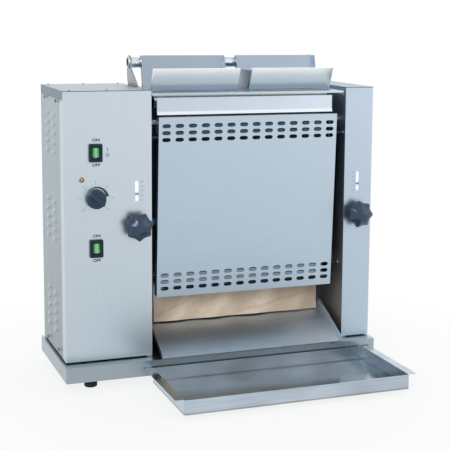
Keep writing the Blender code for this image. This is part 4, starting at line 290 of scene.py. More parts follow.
def make_finishes():
    made = {}
    for name, high, low, *rest in BRUSHED:
        made[name] = brushed_steel(name, tone(*high), tone(*low), *rest)
    made["chute"] = chute_steel()
    made["tray"] = tray_steel()
    made["wall"] = bay_wall_steel()
    made["roller"] = turned_metal("roller_turned", tone(190, 192, 194), 0.34)
    made["screw"] = turned_metal("screw_steel", tone(92, 100, 104), 0.34)
    made["brass"] = turned_metal("lamp_ring", tone(196, 168, 122), 0.36)
    made["thread"] = threaded_steel()
    made["platen"] = cast_aluminium()
    made["element"] = element_sheath()
    made["knob"] = moulded_black("knob_moulding", tone(22, 33, 54), 0.26, 1)
    made["dial"] = moulded_black("dial_moulding", tone(36, 50, 64), 0.4)
    made["switch"] = moulded_black("switch_moulding", tone(16, 28, 40), 0.4, 0.4)
    made["foot"] = moulded_black("foot_rubber", tone(6, 14, 28), 0.55)
    # painted shadow: the dark finish of the louvres' openings
    made["dark"] = moulded_black("opening_shadow", tone(30, 38, 46), 0.8)
    made["ink"] = printed_ink()
    made["rocker"] = lit_lens("rocker_lens", tone(48, 130, 66), tone(106, 192, 118), 0.1, "power_rocker")
    made["lamp"] = lit_lens("lamp_lens", tone(106, 106, 98), tone(150, 146, 130), 0.02, "heat_lamp")
    made["pointer"] = pointer_enamel()
    made["gauge"] = gauge_enamel()
    made["cloth"] = release_cloth()
    made["belt"] = belt_silicone()
    made["motor"] = painted_casting("motor_paint", tone(84, 88, 94))
    made["thermostat"] = painted_casting("thermostat_case", tone(150, 152, 150))
    made["terminal"] = painted_casting("terminal_moulding", tone(216, 206, 176))
    return made


def brushed_steel(name, high, low, roughness, grain, clouding=CLOUDING, span=HOUSING_SPAN):
    """Satin stainless: fine drawn grain, a slow change of tone with height that is painted light and shade, hand
    smears, faint dents.
    """
    steel = Finish(name + "_satin", metallic=1)
    streaks, scratches = steel.grained(grain)
    clouds = steel.noise(5, 2)
    smears = steel.noise(26, 4, 0.6)
    rise = steel.along("Z").eased(*span)
    dim = shaded(high, 0.62)
    # painted light and shade: the tone changes from the low one to the high one with height
    tint = steel.mix(rise + (clouds - 0.5) * clouding, low, high)
    tint = steel.layered(tint, (streaks.above(0.4) * 0.26, dim), (smears.above(0.55) * 0.25, dim))
    rough = roughness + (streaks - 0.5) * 0.12 + (smears - 0.5) * 0.12
    dents = steel.bump(clouds, DENT_DEPTH, 0.05, scratches)
    return steel.paint(base_color=tint, roughness=rough, normal=dents)


def tray_steel():
    """The pan's polished steel: cloudy and streaked along its length, with painted dark reflections on its floor.
    """
    floor_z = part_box("discharge_tray")[0].z
    steel = Finish("tray_satin", metallic=1)
    streaks, scratches = steel.grained("across")
    zones = steel.noise(7, 2, 0.5, (1, 2, 1))
    smears = steel.noise(30, 4, 0.6)
    wall = steel.mix(zones.above(0.46) * 2.4, tone(190, 203, 214), tone(140, 152, 164))
    # painted reflection: dark patches over the floor
    floor_reflections = steel.mix(zones.above(0.35) * 1.6, tone(166, 174, 180), tone(104, 102, 102))
    floor = steel.along("Z").eased(*(floor_z + rise for rise in TRAY_FLOOR_SPAN), 1, 0)
    tint = steel.mix(floor, wall, floor_reflections)
    tint = steel.mix(streaks.above(0.42) * 0.8, tint, tone(100, 108, 116))
    rough = 0.17 + (streaks - 0.5) * 0.1 + (smears - 0.5) * 0.1
    return steel.paint(base_color=tint, roughness=rough, normal=scratches)


def chute_steel():
    """The chute's satin sheet: a painted reflection of the cloth dims its upper left, and painted light brightens
    it to the right.
    """
    low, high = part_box("discharge_chute")
    chute = Finish("chute_satin", metallic=1)
    streaks, scratches = chute.grained("across")
    wobble = chute.noise(6, 3, 0.5, (1, 1, 2))
    # painted light: the sheet grows brighter to the right, along a wobbling edge
    right = (chute.along("X") + (wobble - 0.5) * CHUTE_WOBBLE_REACH).eased(*CHUTE_BRIGHT_SPAN)
    rise = chute.along("Z").eased(*(low.z + share * (high.z - low.z) for share in CHUTE_UPPER_SHARES))
    # painted reflection of the cloth on the upper left, painted light on the upper right
    upper = chute.mix(right, tone(176, 170, 182), tone(246, 252, 255))
    tint = chute.mix(rise, tone(202, 214, 224), upper)
    tint = chute.mix(streaks.above(0.45) * 0.5, tint, tone(120, 126, 132))
    rough = 0.34 + right * 0.22 + (wobble - 0.5) * 0.2
    return chute.paint(base_color=tint, roughness=rough, normal=scratches)


def bay_wall_steel():
    """The bay's side walls: satin, with painted shade in dark bluish patches and on the pegs that carry the cover.
    """
    wall = Finish("wall_satin", metallic=1)
    scratches = wall.grained("upright")[1]
    shade_patches = wall.noise(12, 3, 0.6)
    rise = wall.along("Z").eased(*HOUSING_SPAN)
    pegs = (wall.along("X") - BAY.x).magnitude().eased(*PEG_SPAN, 1, 0)
    # painted shade: dark bluish patches, and the pegs made dark
    tint = wall.layered(
        tone(176, 172, 170),
        (rise, tone(140, 160, 182)),
        (shade_patches.above(0.45) * 0.8, tone(58, 74, 94)),
        (pegs, tone(52, 60, 70)),
    )
    return wall.paint(base_color=tint, roughness=0.42 + shade_patches * 0.1, normal=scratches)


def turned_metal(name, colour, roughness):
    """Lathe-turned metal with fine rings and a little tarnish."""
    metal = Finish(name, metallic=1)
    rings = metal.noise(1, 2, 0.5, (700, 60, 60))
    tarnish = metal.noise(70, 4, 0.6)
    tint = metal.mix(tarnish.above(0.45) * 0.7, colour, shaded(colour, 0.5))
    rough = roughness + (rings - 0.5) * 0.1 + (tarnish - 0.5) * 0.2
    return metal.paint(base_color=tint, roughness=rough, normal=metal.bump(rings, 0.02 * MM, 0.3))


def threaded_steel():
    """A lead screw: a thread as ridges along its length, with painted shade darkening its roots."""
    metal = Finish("lead_screw_steel", metallic=1)
    ridge = (metal.along("Y") / THREAD_PITCH).ridges()
    # painted shade in the thread's roots
    tint = metal.mix(ridge, tone(84, 84, 84), tone(176, 178, 180))
    rough = 0.25 + ridge * 0.15
    return metal.paint(base_color=tint, roughness=rough, normal=metal.bump(ridge, THREAD_DEPTH))


def cast_aluminium():
    """Cast plate, dull and slightly pitted, browned towards its lower edge by heat."""
    metal = Finish("platen_casting", metallic=1)
    pits = metal.node("ShaderNodeTexVoronoi", values={"Vector": metal.place, "Scale": 420})
    stain = metal.noise(18, 4, 0.6)
    heat = metal.along("Z").eased(*PLATEN_HEAT_SPAN, 1, 0)
    tint = metal.mix(heat * stain, tone(186, 188, 190), tone(132, 112, 90))
    rough = 0.42 + stain * 0.18
    return metal.paint(base_color=tint, roughness=rough, normal=metal.bump(pits, 0.1 * MM, 0.4))


def element_sheath():
    """The heating element's sheath, oxidised to a matt grey-green."""
    metal = Finish("element_sheath", metallic=0.8)
    scale = metal.noise(160, 4, 0.6)
    tint = metal.mix(scale, tone(58, 60, 58), tone(96, 90, 80))
    rough = 0.5 + scale * 0.3
    return metal.paint(base_color=tint, roughness=rough, normal=metal.bump(scale, 0.06 * MM, 0.5))


def moulded_black(name, colour, roughness, gloss=0.5):
    """Moulded plastic or rubber: a fine texture, a bluish gloss where it is polished by use, and dust."""
    plastic = Finish(name, specular_tint=(0.58, 0.78, 1, 1), specular_ior_level=gloss)
    pores = plastic.noise(1500, 2, 0.6)
    handling = plastic.noise(60, 3, 0.5)
    tint = plastic.mix(handling.above(0.5) * 0.5, colour, shaded(colour, 1.1, 0.02))
    rough = roughness + (handling - 0.5) * 0.22
    return plastic.paint(base_color=tint, roughness=rough, normal=plastic.bump(pores, 0.02 * MM, 0.35))


def printed_ink():
    """Screen-printed ink, slightly uneven in cover."""
    colour = tone(40, 50, 66)
    ink = Finish("printed_ink")
    cover = ink.noise(900, 3, 0.7)
    tint = ink.mix(cover.above(0.5) * 0.8, colour, shaded(colour, 0.7, 0.25))
    return ink.paint(base_color=tint, roughness=0.45 + cover * 0.2)


def lit_lens(name, colour, glow, power, node):
    """A tinted lens with a lamp behind it: brighter in the middle, dark towards its sides."""
    low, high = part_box(node)
    half_width = (high.x - low.x) / 2
    lens = Finish(name, coat_weight=0.6, coat_roughness=0.08, emission_strength=power)
    away = (lens.along("X") - (low.x + high.x) / 2).magnitude()
    haze = lens.noise(140, 2)
    tint = lens.mix(away.eased(0.2 * half_width, 0.7 * half_width, 0.9, 0) + haze * 0.1, colour, glow)
    tint = lens.mix(away.eased(0.72 * half_width, 0.86 * half_width), tint, shaded(colour, 0.3))
    return lens.paint(base_color=tint, emission_color=tint, roughness=0.22 + haze * 0.1)


def gauge_enamel():
    """White enamelled plate with faint speckle, and a faint glow that is painted light against the shade of its
    slot.
    """
    # painted light: the plate glows though it is no lamp
    enamel = Finish("gauge_enamel", coat_weight=0.3, coat_roughness=0.2, emission_strength=0.45)
    speckle = enamel.noise(600, 3, 0.6)
    tint = enamel.mix(speckle * 0.2, tone(250, 252, 254), tone(226, 231, 236))
    return enamel.paint(base_color=tint, emission_color=tint, roughness=0.4 + speckle * 0.15)


def pointer_enamel():
    """The gauge's slider: white, with a dark line across its middle."""
    low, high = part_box("left_gauge_pointer")
    enamel = Finish("pointer_enamel", coat_weight=0.2)
    away = (enamel.along("Z") - (low.z + high.z) / 2).magnitude()
    speckle = enamel.noise(500, 3)
    tint = enamel.mix(away.eased(*POINTER_LINE_SPAN), tone(40, 48, 60), tone(232, 236, 240))
    return enamel.paint(base_color=tint, roughness=0.35 + speckle * 0.2)


def release_cloth():
    """Coated glass cloth: a fine plain weave under a tan coating, stained and marked by use, with painted shade
    towards its right side and over its held upper part, and painted shade and highlight along its creases.
    """
    cloth = Finish("release_glass_cloth", sheen_weight=0.15, sheen_roughness=0.5)
    across = cloth.along("X")
    height = cloth.along("Z")
    rise = height - BAY.z
    weave = ((across * WEAVE).wave() + (height * WEAVE).wave()) * 0.5
    fold = ((across - rise * CREASE_SLANT) / CREASE_PITCH + cloth.noise(9, 3) * 1.4).ridges()
    far_fold = ((across - rise * FAR_CREASE_SLANT) / FAR_CREASE_PITCH + cloth.noise(7, 3) * 0.9).ridges()
    stain = cloth.noise(14, 4, 0.6)
    smear = cloth.noise(9, 3, 0.6, (1, 1, 4))
    tint = cloth.layered(
        tone(238, 220, 196),
        (stain.eased(0.35, 0.7), tone(212, 188, 162)),
        # painted shade towards the cloth's right side
        (across.eased(*CLOTH_SHADED_SPAN, 0, 0.5), tone(158, 134, 112)),
        (smear.above(0.55) * 1.4, tone(176, 148, 120)),
        # painted shade and highlight along the near and far creases
        (fold.eased(0.3, 0.8, 0.32, 0), tone(176, 150, 124)),
        (fold.eased(0.8, 0.98, 0, 0.12), tone(250, 238, 220)),
        (far_fold.eased(0.82, 0.98, 0, 0.22), tone(150, 122, 98)),
        (weave * 0.12, tone(120, 98, 76)),
        # painted shade over the upper part, held in the bay
        (height.eased(*CLOTH_HELD_SHADE_SPAN), tone(44, 50, 60)),
    )
    rough = 0.42 + weave * 0.12 + stain * 0.1
    return cloth.paint(base_color=tint, roughness=rough, normal=cloth.bump(weave, 0.05 * MM, 0.5))


def belt_silicone():
    """Dark silicone belt with a moulded grain, a pale dusting, and shade at its lower end."""
    belt = Finish("belt_silicone", sheen_weight=0.1)
    grain = belt.noise(700, 3, 0.6)
    dust = belt.noise(45, 4, 0.6)
    tint = belt.mix(dust.above(0.5) * 0.8, tone(70, 84, 100), tone(128, 132, 136))
    tint = belt.mix(belt.along("Z").eased(*BELT_SHADE_SPAN, 1, 0), tint, tone(34, 42, 54))
    rough = 0.6 + grain * 0.2
    return belt.paint(base_color=tint, roughness=rough, normal=belt.bump(grain, 0.06 * MM, 0.6))


def painted_casting(name, colour):
    """Painted or moulded housing with light orange peel."""
    paint = Finish(name)
    peel = paint.noise(420, 3, 0.5)
    dirt = paint.noise(40, 4, 0.6)
    tint = paint.mix(dirt.above(0.5), colour, shaded(colour, 0.55))
    rough = 0.45 + dirt * 0.15
    return paint.paint(base_color=tint, roughness=rough, normal=paint.bump(peel, 0.05 * MM, 0.4))


# Making pieces


def piece(mesh, name, body, finish, stands_for=()):
    """A finished piece at the origin: its place is in its mesh, and it rides on a body."""
    made = bpy.data.objects.new(name, mesh)
    bpy.context.scene.collection.objects.link(made)
    mesh.materials.clear()
    mesh.materials.append(finishes[finish])
    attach(made, body)
    if stands_for:
        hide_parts(*stands_for)
    return made


def printed(mesh, name, place, turn=Matrix()):
    """A piece of print on the housings' front, moved to its place."""
    mesh.transform(Matrix.Translation(place) @ turn)
    return piece(mesh, name, "chassis", "ink")


def body_joint(name):
    return next(joint for joint in frame["joints"] if joint["name"] == name)


def joint_place(name):
    return Vector(body_joint(name)["pos_m"])


def box_middle(node):
    low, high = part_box(node)
    return (low + high) / 2


def evaluated(worker):
    """The mesh of a working object after its modifiers. The object is removed."""
    bpy.context.scene.collection.objects.link(worker)
    graph = bpy.context.evaluated_depsgraph_get()
    mesh = bpy.data.meshes.new_from_object(worker.evaluated_get(graph))
    bpy.data.objects.remove(worker)
    return mesh


def with_modifier(mesh, kind, **settings):
    worker = bpy.data.objects.new("worker", mesh)
    modifier = worker.modifiers.new(kind, kind)
    for name, setting in settings.items():
        setattr(modifier, name, setting)
    return evaluated(worker)


def mesh_from(bm, name):
    mesh = bpy.data.meshes.new(name)
    bm.to_mesh(mesh)
    bm.free()
    return mesh


def skin_from(bm, name):
    """The mesh of a shape whose faces are turned outwards first."""
    bmesh.ops.recalc_face_normals(bm, faces=bm.faces)
    return mesh_from(bm, name)


def soften(mesh, angle=CREASE_ANGLE):
    """Smooth shading with sharp edges kept where faces meet at more than an angle."""
    bm = bmesh.new()
    bm.from_mesh(mesh)
    for face in bm.faces:
        face.smooth = True
    for edge in bm.edges:
        if len(edge.link_faces) == 2:
            edge.smooth = edge.calc_face_angle(math.pi) < angle * DEGREE
    bm.to_mesh(mesh)
    bm.free()
    return mesh


def bridge(bm, ring, after):
    """Faces between two rings, either of which may be a single point."""
    count = max(len(ring), len(after))
    for i in range(count):
        j = (i + 1) % count
        corners = []
        for loop, k in ((ring, i), (ring, j), (after, j), (after, i)):
            corner = loop[k % len(loop)]
            if corner not in corners:
                corners.append(corner)
        bm.faces.new(corners)


def loft(rings, ends=(0, -1), joined=False):
    """A skin over rings of points, shut by a face at its ends, or joined round from last to first."""
    bm = bmesh.new()
    loops = [[bm.verts.new(point) for point in ring] for ring in rings]
    following = loops[1:] + (loops[:1] if joined else [])
    for loop, after in zip(loops, following):
        bridge(bm, loop, after)
    if not joined:
        for end in ends:
            if len(loops[end]) > 1:
                bm.faces.new(loops[end])
    return bm, loops


def spread(bm, rows):
    """A sheet of four-sided faces over rows of points."""
    for row, after in zip(rows, rows[1:]):
        for i in range(len(row) - 1):
            bm.faces.new((row[i], row[i + 1], after[i + 1], after[i]))


def circle(radius, sides):
    """Pairs of places on a circle, or the one at its middle where it has no radius."""
    if radius < WELD:
        return [(0, 0)]
    angles = [FULL_TURN * i / sides for i in range(sides)]
    return [(radius * math.cos(angle), radius * math.sin(angle)) for angle in angles]


def lathe(profile, centre, sides=48, joined=False):
    """A shape turned about Y from rows of radius and distance. Joined, its last row meets its first."""
    rings = []
    for radius, reach in profile:
        rings.append([centre + Vector((x, reach, z)) for x, z in circle(radius, sides)])
    return soften(skin_from(loft(rings, joined=joined)[0], "turned"))


# Repeating patterns, made by Geometry Nodes

SCREW_SIDES = 16
SCREW_RINGS = ((1, 0), (1, 0.22), (0.86, 0.48), (0.66, 0.58))
RECESS_ARM = 0.46
RECESS_HALF_WIDTH = 0.13
RECESS_FLOOR = 0.2
RECESS_TAPER = 0.8
SCREW_RADIUS = 3.2 * MM
LID_SCREW_RADIUS = 2 * MM
SCREW_SEED = 3
INK_DEPTH = 0.12 * MM
LONG_TICK_DEPTH = 1.3 * INK_DEPTH
BELT_INNER_RADIUS = 9.9 * MM
BELT_THICKNESS = 1.5 * MM
BELT_WIDTH = 306 * MM
BELT_LOOP_POINTS = 64
BELT_RIB = 1.1 * MM
BELT_RIB_SIDES = 8
BELT_RIB_PITCH = 10.2 * MM


class Pattern(Graph):
    """A Geometry Nodes tree with named inputs, ended by Realize Instances and Set Material."""

    KINDS = {float: "NodeSocketFloat", int: "NodeSocketInt", bpy.types.Object: "NodeSocketObject"}

    def __init__(self, name, **sizes):
        super().__init__(bpy.data.node_groups.new(name, "GeometryNodeTree"))
        self.sizes = sizes
        face = self.tree.interface
        face.new_socket("Places", in_out="INPUT", socket_type="NodeSocketGeometry")
        for word, value in sizes.items():
            face.new_socket(word, in_out="INPUT", socket_type=self.KINDS[type(value)])
        face.new_socket("Finish", in_out="INPUT", socket_type="NodeSocketMaterial")
        face.new_socket("Made", in_out="OUTPUT", socket_type="NodeSocketGeometry")
        self.entry = self.node("NodeGroupInput").end.node

    def given(self, word):
        """The pattern's input of that name."""
        return Socket(self, self.entry.outputs[word])

    def shape(self, word):
        """The geometry of an object that is an input."""
        return self.node("GeometryNodeObjectInfo", values={"Object": self.given(word)}, output="Geometry")

    def vector(self, **parts):
        return self.node("ShaderNodeCombineXYZ", values=parts)

    def turned(self, **angles):
        return self.node("FunctionNodeEulerToRotation", values={0: self.vector(**angles)})

    def copies(self, points, shape, **changes):
        """A shape repeated on points, with a rotation or scale for each."""
        values = {"Points": points, "Instance": shape, **changes}
        return self.node("GeometryNodeInstanceOnPoints", values=values)

    def made(self, geometry, finish, places=None):
        """The pattern's result as one plain mesh."""
        whole = self.node("GeometryNodeRealizeInstances", values={0: geometry})
        values = {"Geometry": whole, "Material": self.given("Finish")}
        self.node("NodeGroupOutput", values={0: self.node("GeometryNodeSetMaterial", values=values)})
        worker = bpy.data.objects.new("pattern_worker", places or bpy.data.meshes.new("places"))
        modifier = worker.modifiers.new("pattern", "NODES")
        modifier.node_group = self.tree
        settings = {**self.sizes, "Finish": finishes[finish]}
        for item in self.tree.interface.items_tree:
            if item.in_out == "INPUT" and item.name in settings:
                modifier[item.identifier] = settings[item.name]
        return evaluated(worker)


def screw_head():
    """A small domed head of unit radius with a cross recess, facing +Z."""
    top = SCREW_RINGS[-1][1]
    rings = [[(*pair, height) for pair in circle(radius, SCREW_SIDES)] for radius, height in SCREW_RINGS]
    bm, loops = loft(rings, ends=(0,))
    arm, half = RECESS_ARM, RECESS_HALF_WIDTH
    outline = []
    for quarter in range(4):
        turn = Matrix.Rotation(quarter * FULL_TURN / 4, 2)
        outline += [turn @ Vector(corner) for corner in ((half, half), (half, arm), (-half, arm))]
    recess = [bm.verts.new((*point, top)) for point in outline]
    edges = []
    for ring in (loops[-1], recess):
        for vert, after in zip(ring, ring[1:] + ring[:1]):
            edges.append(bm.edges.get((vert, after)) or bm.edges.new((vert, after)))
    bmesh.ops.triangle_fill(bm, edges=edges, use_beauty=True)
    floor = [bm.verts.new((*point * RECESS_TAPER, RECESS_FLOOR)) for point in outline]
    bridge(bm, recess, floor)
    bm.faces.new(floor)
    return soften(skin_from(bm, "screw_head"))


def points_at(places):
    points = bpy.data.meshes.new("pattern_places")
    points.from_pydata(places, [], [])
    return points


def repeated(name, shape, places, finish, body="chassis"):
    """Copies of a small shape set out on places, all the same way round."""
    model = bpy.data.objects.new("shape_pattern", shape)
    tree = Pattern(name, Shape=model)
    mesh = tree.made(tree.copies(tree.given("Places"), tree.shape("Shape")), finish, points_at(places))
    bpy.data.objects.remove(model)
    return piece(mesh, name, body, finish)


def screws(name, places, facing, radius=SCREW_RADIUS):
    """Cross-head screws on places, all facing one way and each turned at random."""
    head = bpy.data.objects.new("head_pattern", screw_head())
    tree = Pattern(name, Radius=radius, Seed=SCREW_SEED, Head=head)
    share = tree.node("FunctionNodeRandomValue", {"data_type": "FLOAT"}, {"Seed": tree.given("Seed")}, 1)
    aim = tree.node("FunctionNodeAlignRotationToVector", {"axis": "Z"}, {"Vector": facing})
    values = {0: aim, 1: tree.turned(Z=share * math.pi)}
    turn = tree.node("FunctionNodeRotateRotation", {"rotation_space": "LOCAL"}, values)
    changes = {"Rotation": turn, "Scale": tree.given("Radius")}
    heads = tree.copies(tree.given("Places"), tree.shape("Head"), **changes)
    mesh = tree.made(heads, "screw", points_at(places))
    bpy.data.objects.remove(head)
    return piece(mesh, name, "chassis", "screw")


def tick_block(tree):
    """One printed tick, lying along X."""
    size = tree.vector(X=tree.given("Long"), Y=tree.given("Depth"), Z=tree.given("Wide"))
    return tree.node("GeometryNodeMeshCube", values={"Size": size})


def dial_ticks(name, centre, radius, count, long, wide, depth=INK_DEPTH):
    """Printed ticks on the dial's arc, as far apart as their count makes them."""
    start, sweep = (angle * DEGREE for angle in (DIAL_START, DIAL_SWEEP))
    sizes = {"Long": long, "Wide": wide, "Depth": depth}
    tree = Pattern(name, Count=count, Radius=radius, Start=start, Sweep=sweep, **sizes)
    points = tree.node("GeometryNodeMeshLine", values={"Count": tree.given("Count"), "Offset": (0, 0, 0)})
    values = {"Geometry": tick_block(tree), "Translation": tree.vector(X=tree.given("Radius"))}
    tick = tree.node("GeometryNodeTransform", values=values)
    index = tree.node("GeometryNodeInputIndex")
    angle = tree.given("Start") + index * tree.given("Sweep") / (tree.given("Count") - 1)
    ticks = tree.copies(points, tick, Rotation=tree.turned(Y=0 - angle))
    return printed(tree.made(ticks, "ink"), name, centre)


def row_ticks(name, first, pitch, count, long, wide, depth=INK_DEPTH):
    """Printed ticks in a column, each at a pitch above the last."""
    tree = Pattern(name, Count=count, Pitch=pitch, Long=long, Wide=wide, Depth=depth)
    step = tree.vector(Z=tree.given("Pitch"))
    points = tree.node("GeometryNodeMeshLine", values={"Count": tree.given("Count"), "Offset": step})
    return printed(tree.made(tree.copies(points, tick_block(tree)), "ink"), name, first)


def ribbed_belt(word):
    """A silicone belt on its loop round two rollers, with round ribs across it at an even pitch."""
    name = word + "_ribbed_belt"
    pivot = joint_place(word + "_drive_spin")
    idler = joint_place(word + "_idler_spin")
    radius = BELT_INNER_RADIUS + BELT_THICKNESS / 2
    sizes = {"Run": pivot.z - idler.z, "Radius": radius, "Width": BELT_WIDTH}
    tree = Pattern(name, Thickness=BELT_THICKNESS, Pitch=BELT_RIB_PITCH, Rib=BELT_RIB, **sizes)
    values = {"Resolution": BELT_LOOP_POINTS, "Radius": tree.given("Radius")}
    loop = tree.node("GeometryNodeCurvePrimitiveCircle", {"mode": "RADIUS"}, values)
    place = tree.node("GeometryNodeInputPosition")
    height = tree.node("ShaderNodeSeparateXYZ", values={0: place}, output="Y")
    shift = tree.vector(Y=height.sign() * tree.given("Run") / 2)
    loop = tree.node("GeometryNodeSetPosition", values={"Geometry": loop, "Offset": shift})
    values = {"Width": tree.given("Thickness"), "Height": tree.given("Width")}
    section = tree.node("GeometryNodeCurvePrimitiveQuadrilateral", {"mode": "RECTANGLE"}, values)
    band = tree.node("GeometryNodeCurveToMesh", values={"Curve": loop, "Profile Curve": section})
    values = {"Curve": loop, "Length": tree.given("Pitch")}
    marks = tree.node("GeometryNodeResampleCurve", {"mode": "LENGTH"}, values)
    values = {0: tree.node("GeometryNodeInputNormal"), "Scale": tree.given("Thickness") / 2}
    grow = tree.node("ShaderNodeVectorMath", {"operation": "SCALE"}, values)
    marks = tree.node("GeometryNodeSetPosition", values={"Geometry": marks, "Offset": grow})
    values = {"Vertices": BELT_RIB_SIDES, "Radius": tree.given("Rib"), "Depth": tree.given("Width")}
    ribs = tree.copies(marks, tree.node("GeometryNodeMeshCylinder", values=values))
    mesh = tree.made(tree.node("GeometryNodeJoinGeometry", values={0: [band, ribs]}), "belt")
    middle = (pivot + idler) / 2
    mesh.transform(Matrix(((0, 0, 1, middle.x), (1, 0, 0, middle.y), (0, 1, 0, middle.z), (0, 0, 0, 1))))
    return piece(soften(mesh), name, word + "_conveyor", "belt", [word + "_belt"])


# Sheet metal: pressed louvres of the left side cover, slots of the front cover and tabs behind them

LOUVRE_HALF_LENGTH = 10.4 * MM
LOUVRE_HEIGHT = 8.2 * MM
LOUVRE_PROUD = 3 * MM
LOUVRE_WALL = 0.5 * MM
LOUVRE_SEAT = 0.1 * MM
LOUVRE_FACE_DEPTH = 2.4 * MM
LOUVRE_END_POWER = 6
LOUVRE_CROWN_SHARE = 0.12
LOUVRE_COLUMNS = 14
LOUVRE_ROWS = 6
MOUTH_INSET = 0.6 * MM
MOUTH_THICKNESS = 0.3 * MM
MOUTH_END_SHARE = 0.01
LOUVRE_PITCH = 16.3 * MM
LOUVRE_GROUP_TOPS = (423 * MM, 270.4 * MM, 108.3 * MM)
LOUVRES_IN_GROUP = 5
LOUVRE_PLACES_Y = (83 * MM, 137 * MM)

# The front cover's leaning face, from the bay's place
COVER_MIDDLE_X = -1.25 * MM
COVER_FOOT_Y, COVER_FOOT_Z = 18.5 * MM, 100 * MM
COVER_HEAD_Y, COVER_HEAD_Z = 1.6 * MM, 420 * MM
COVER_SLOPE = (COVER_HEAD_Y - COVER_FOOT_Y) / (COVER_HEAD_Z - COVER_FOOT_Z)
SLOT_PITCH = 23.7 * MM
SLOT_COLUMNS = 14
SLOT_GROUP_LOWS = (115.3 * MM, 380.7 * MM)
SLOT_ROW_PITCH = 12 * MM
SLOT_ROWS = 3
SLOT_REACH_X = 9 * MM
SLOT_REACH_Z = 4 * MM
SLOT_GROWTH_X = 1.1
SLOT_GROWTH_Z = 1.28
SLOT_ROUNDING = 2.1 * MM
TAB_SIZE = (15.6 * MM, 0.5 * MM, 5.6 * MM)
TAB_ROUNDING = 0.3 * MM
TAB_LEAN = 9
TAB_SET_BACK = 1.3 * MM
TAB_DROP = 4 * MM
LIP_HEIGHT = 5.5 * MM
LIP_DRAW_BACK = 2.8 * MM
EDGE_SEGMENTS = 2


def louvre_reach(side, least=0):
    """How far a louvre stands out at a place along it, from -1 to 1, as a share of its middle."""
    return math.sqrt(max(least, 1 - abs(side) ** LOUVRE_END_POWER))


def louvre_hood():
    """A pressed hood facing -X, open below: round at its ends and highest at its lip."""
    bm = bmesh.new()
    rows = []
    for j in range(LOUVRE_ROWS + 1):
        drop = j / LOUVRE_ROWS
        row = []
        for i in range(LOUVRE_COLUMNS + 1):
            side = 2 * i / LOUVRE_COLUMNS - 1
            proud = LOUVRE_PROUD * louvre_reach(side) * math.sin(drop * math.pi / 2)
            crown = LOUVRE_CROWN_SHARE * side * side * (1 - drop)
            height = LOUVRE_HEIGHT * (0.5 - drop - crown)
            row.append(bm.verts.new((LOUVRE_SEAT - proud, side * LOUVRE_HALF_LENGTH, height)))
        rows.append(row)
    spread(bm, rows)
    mesh = with_modifier(skin_from(bm, "louvre"), "SOLIDIFY", thickness=LOUVRE_WALL, offset=-1)
    return soften(mesh, CLOTH_CREASE_ANGLE)


def louvre_mouth():
    """A painted shadow: a thin dark sheet in the opening under a hood."""
    low = MOUTH_THICKNESS - LOUVRE_HEIGHT / 2
    sides = [2 * i / LOUVRE_COLUMNS - 1 for i in range(LOUVRE_COLUMNS + 1)]
    proud = LOUVRE_PROUD - LOUVRE_WALL
    half_length = LOUVRE_HALF_LENGTH - MOUTH_INSET
    outline = [(-proud * louvre_reach(side, MOUTH_END_SHARE), side * half_length) for side in sides]
    rings = [[(*pair, z) for pair in outline] for z in (low, low + MOUTH_THICKNESS)]
    return skin_from(loft(rings)[0], "mouth")


def make_louvres():
    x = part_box("left_side_cover")[0].x + LOUVRE_FACE_DEPTH
    places = []
    for top in LOUVRE_GROUP_TOPS:
        for row in range(LOUVRES_IN_GROUP):
            places += [(x, BAY.y + y, BAY.z + top - row * LOUVRE_PITCH) for y in LOUVRE_PLACES_Y]
    repeated("louvre_hoods", louvre_hood(), places, "hood")
    repeated("louvre_mouths", louvre_mouth(), places, "dark")


def slot_rows(skipped=0):
    """Heights of the rows of slots over the bay's place, with the lowest of each group skipped or not."""
    return [low + row * SLOT_ROW_PITCH for low in SLOT_GROUP_LOWS for row in range(skipped, SLOT_ROWS)]


def make_slot_tabs():
    """Punched tabs, bent back from the slots' lower edges. The lowest rows and last column have none."""
    bm = bmesh.new()
    bmesh.ops.create_cube(bm, size=1, matrix=Matrix.Diagonal((*TAB_SIZE, 1)))
    bmesh.ops.bevel(bm, geom=bm.edges[:], offset=TAB_ROUNDING, segments=2, profile=0.5, affect="EDGES")
    up = Matrix.Translation((0, 0, TAB_SIZE[2] / 2))
    bmesh.ops.transform(bm, matrix=Matrix.Rotation(-TAB_LEAN * DEGREE, 4, "X") @ up, verts=bm.verts)
    places = []
    for z in slot_rows(1):
        y = COVER_FOOT_Y + COVER_SLOPE * (z - COVER_FOOT_Z) + TAB_SET_BACK
        for column in range(SLOT_COLUMNS - 1):
            x = COVER_MIDDLE_X + (column - (SLOT_COLUMNS - 1) / 2) * SLOT_PITCH
            places.append(BAY + Vector((x, y, z - TAB_DROP)))
    repeated("slot_tabs", soften(mesh_from(bm, "tab")), places, "tab", "front_cover")


def slots_opened_out(bm):
    """The front cover's slots are longer, taller and rounder in the photograph than in the solid."""
    rims = set()
    for vert in bm.verts:
        x = vert.co.x - BAY.x - COVER_MIDDLE_X
        z = vert.co.z - BAY.z
        column = round(x / SLOT_PITCH - 0.5) + 0.5
        across = x - column * SLOT_PITCH
        over = min((z - row for row in slot_rows()), key=abs)
        if abs(across) < SLOT_REACH_X and abs(over) < SLOT_REACH_Z and abs(column) < SLOT_COLUMNS / 2:
            rise = over * (SLOT_GROWTH_Z - 1)
            vert.co += Vector((across * (SLOT_GROWTH_X - 1), rise * COVER_SLOPE, rise))
            rims.add(vert)
    corners = [edge for edge in bm.edges if rims.issuperset(edge.verts) and runs_back(edge)]
    settings = {"segments": 4, "profile": 0.5, "affect": "EDGES", "clamp_overlap": True}
    bmesh.ops.bevel(bm, geom=corners, offset=SLOT_ROUNDING, **settings)


def runs_back(edge):
    """Whether an edge runs through the thickness of an upright sheet."""
    reach = edge.verts[0].co - edge.verts[1].co
    return abs(reach.y) > 0.9 * reach.length


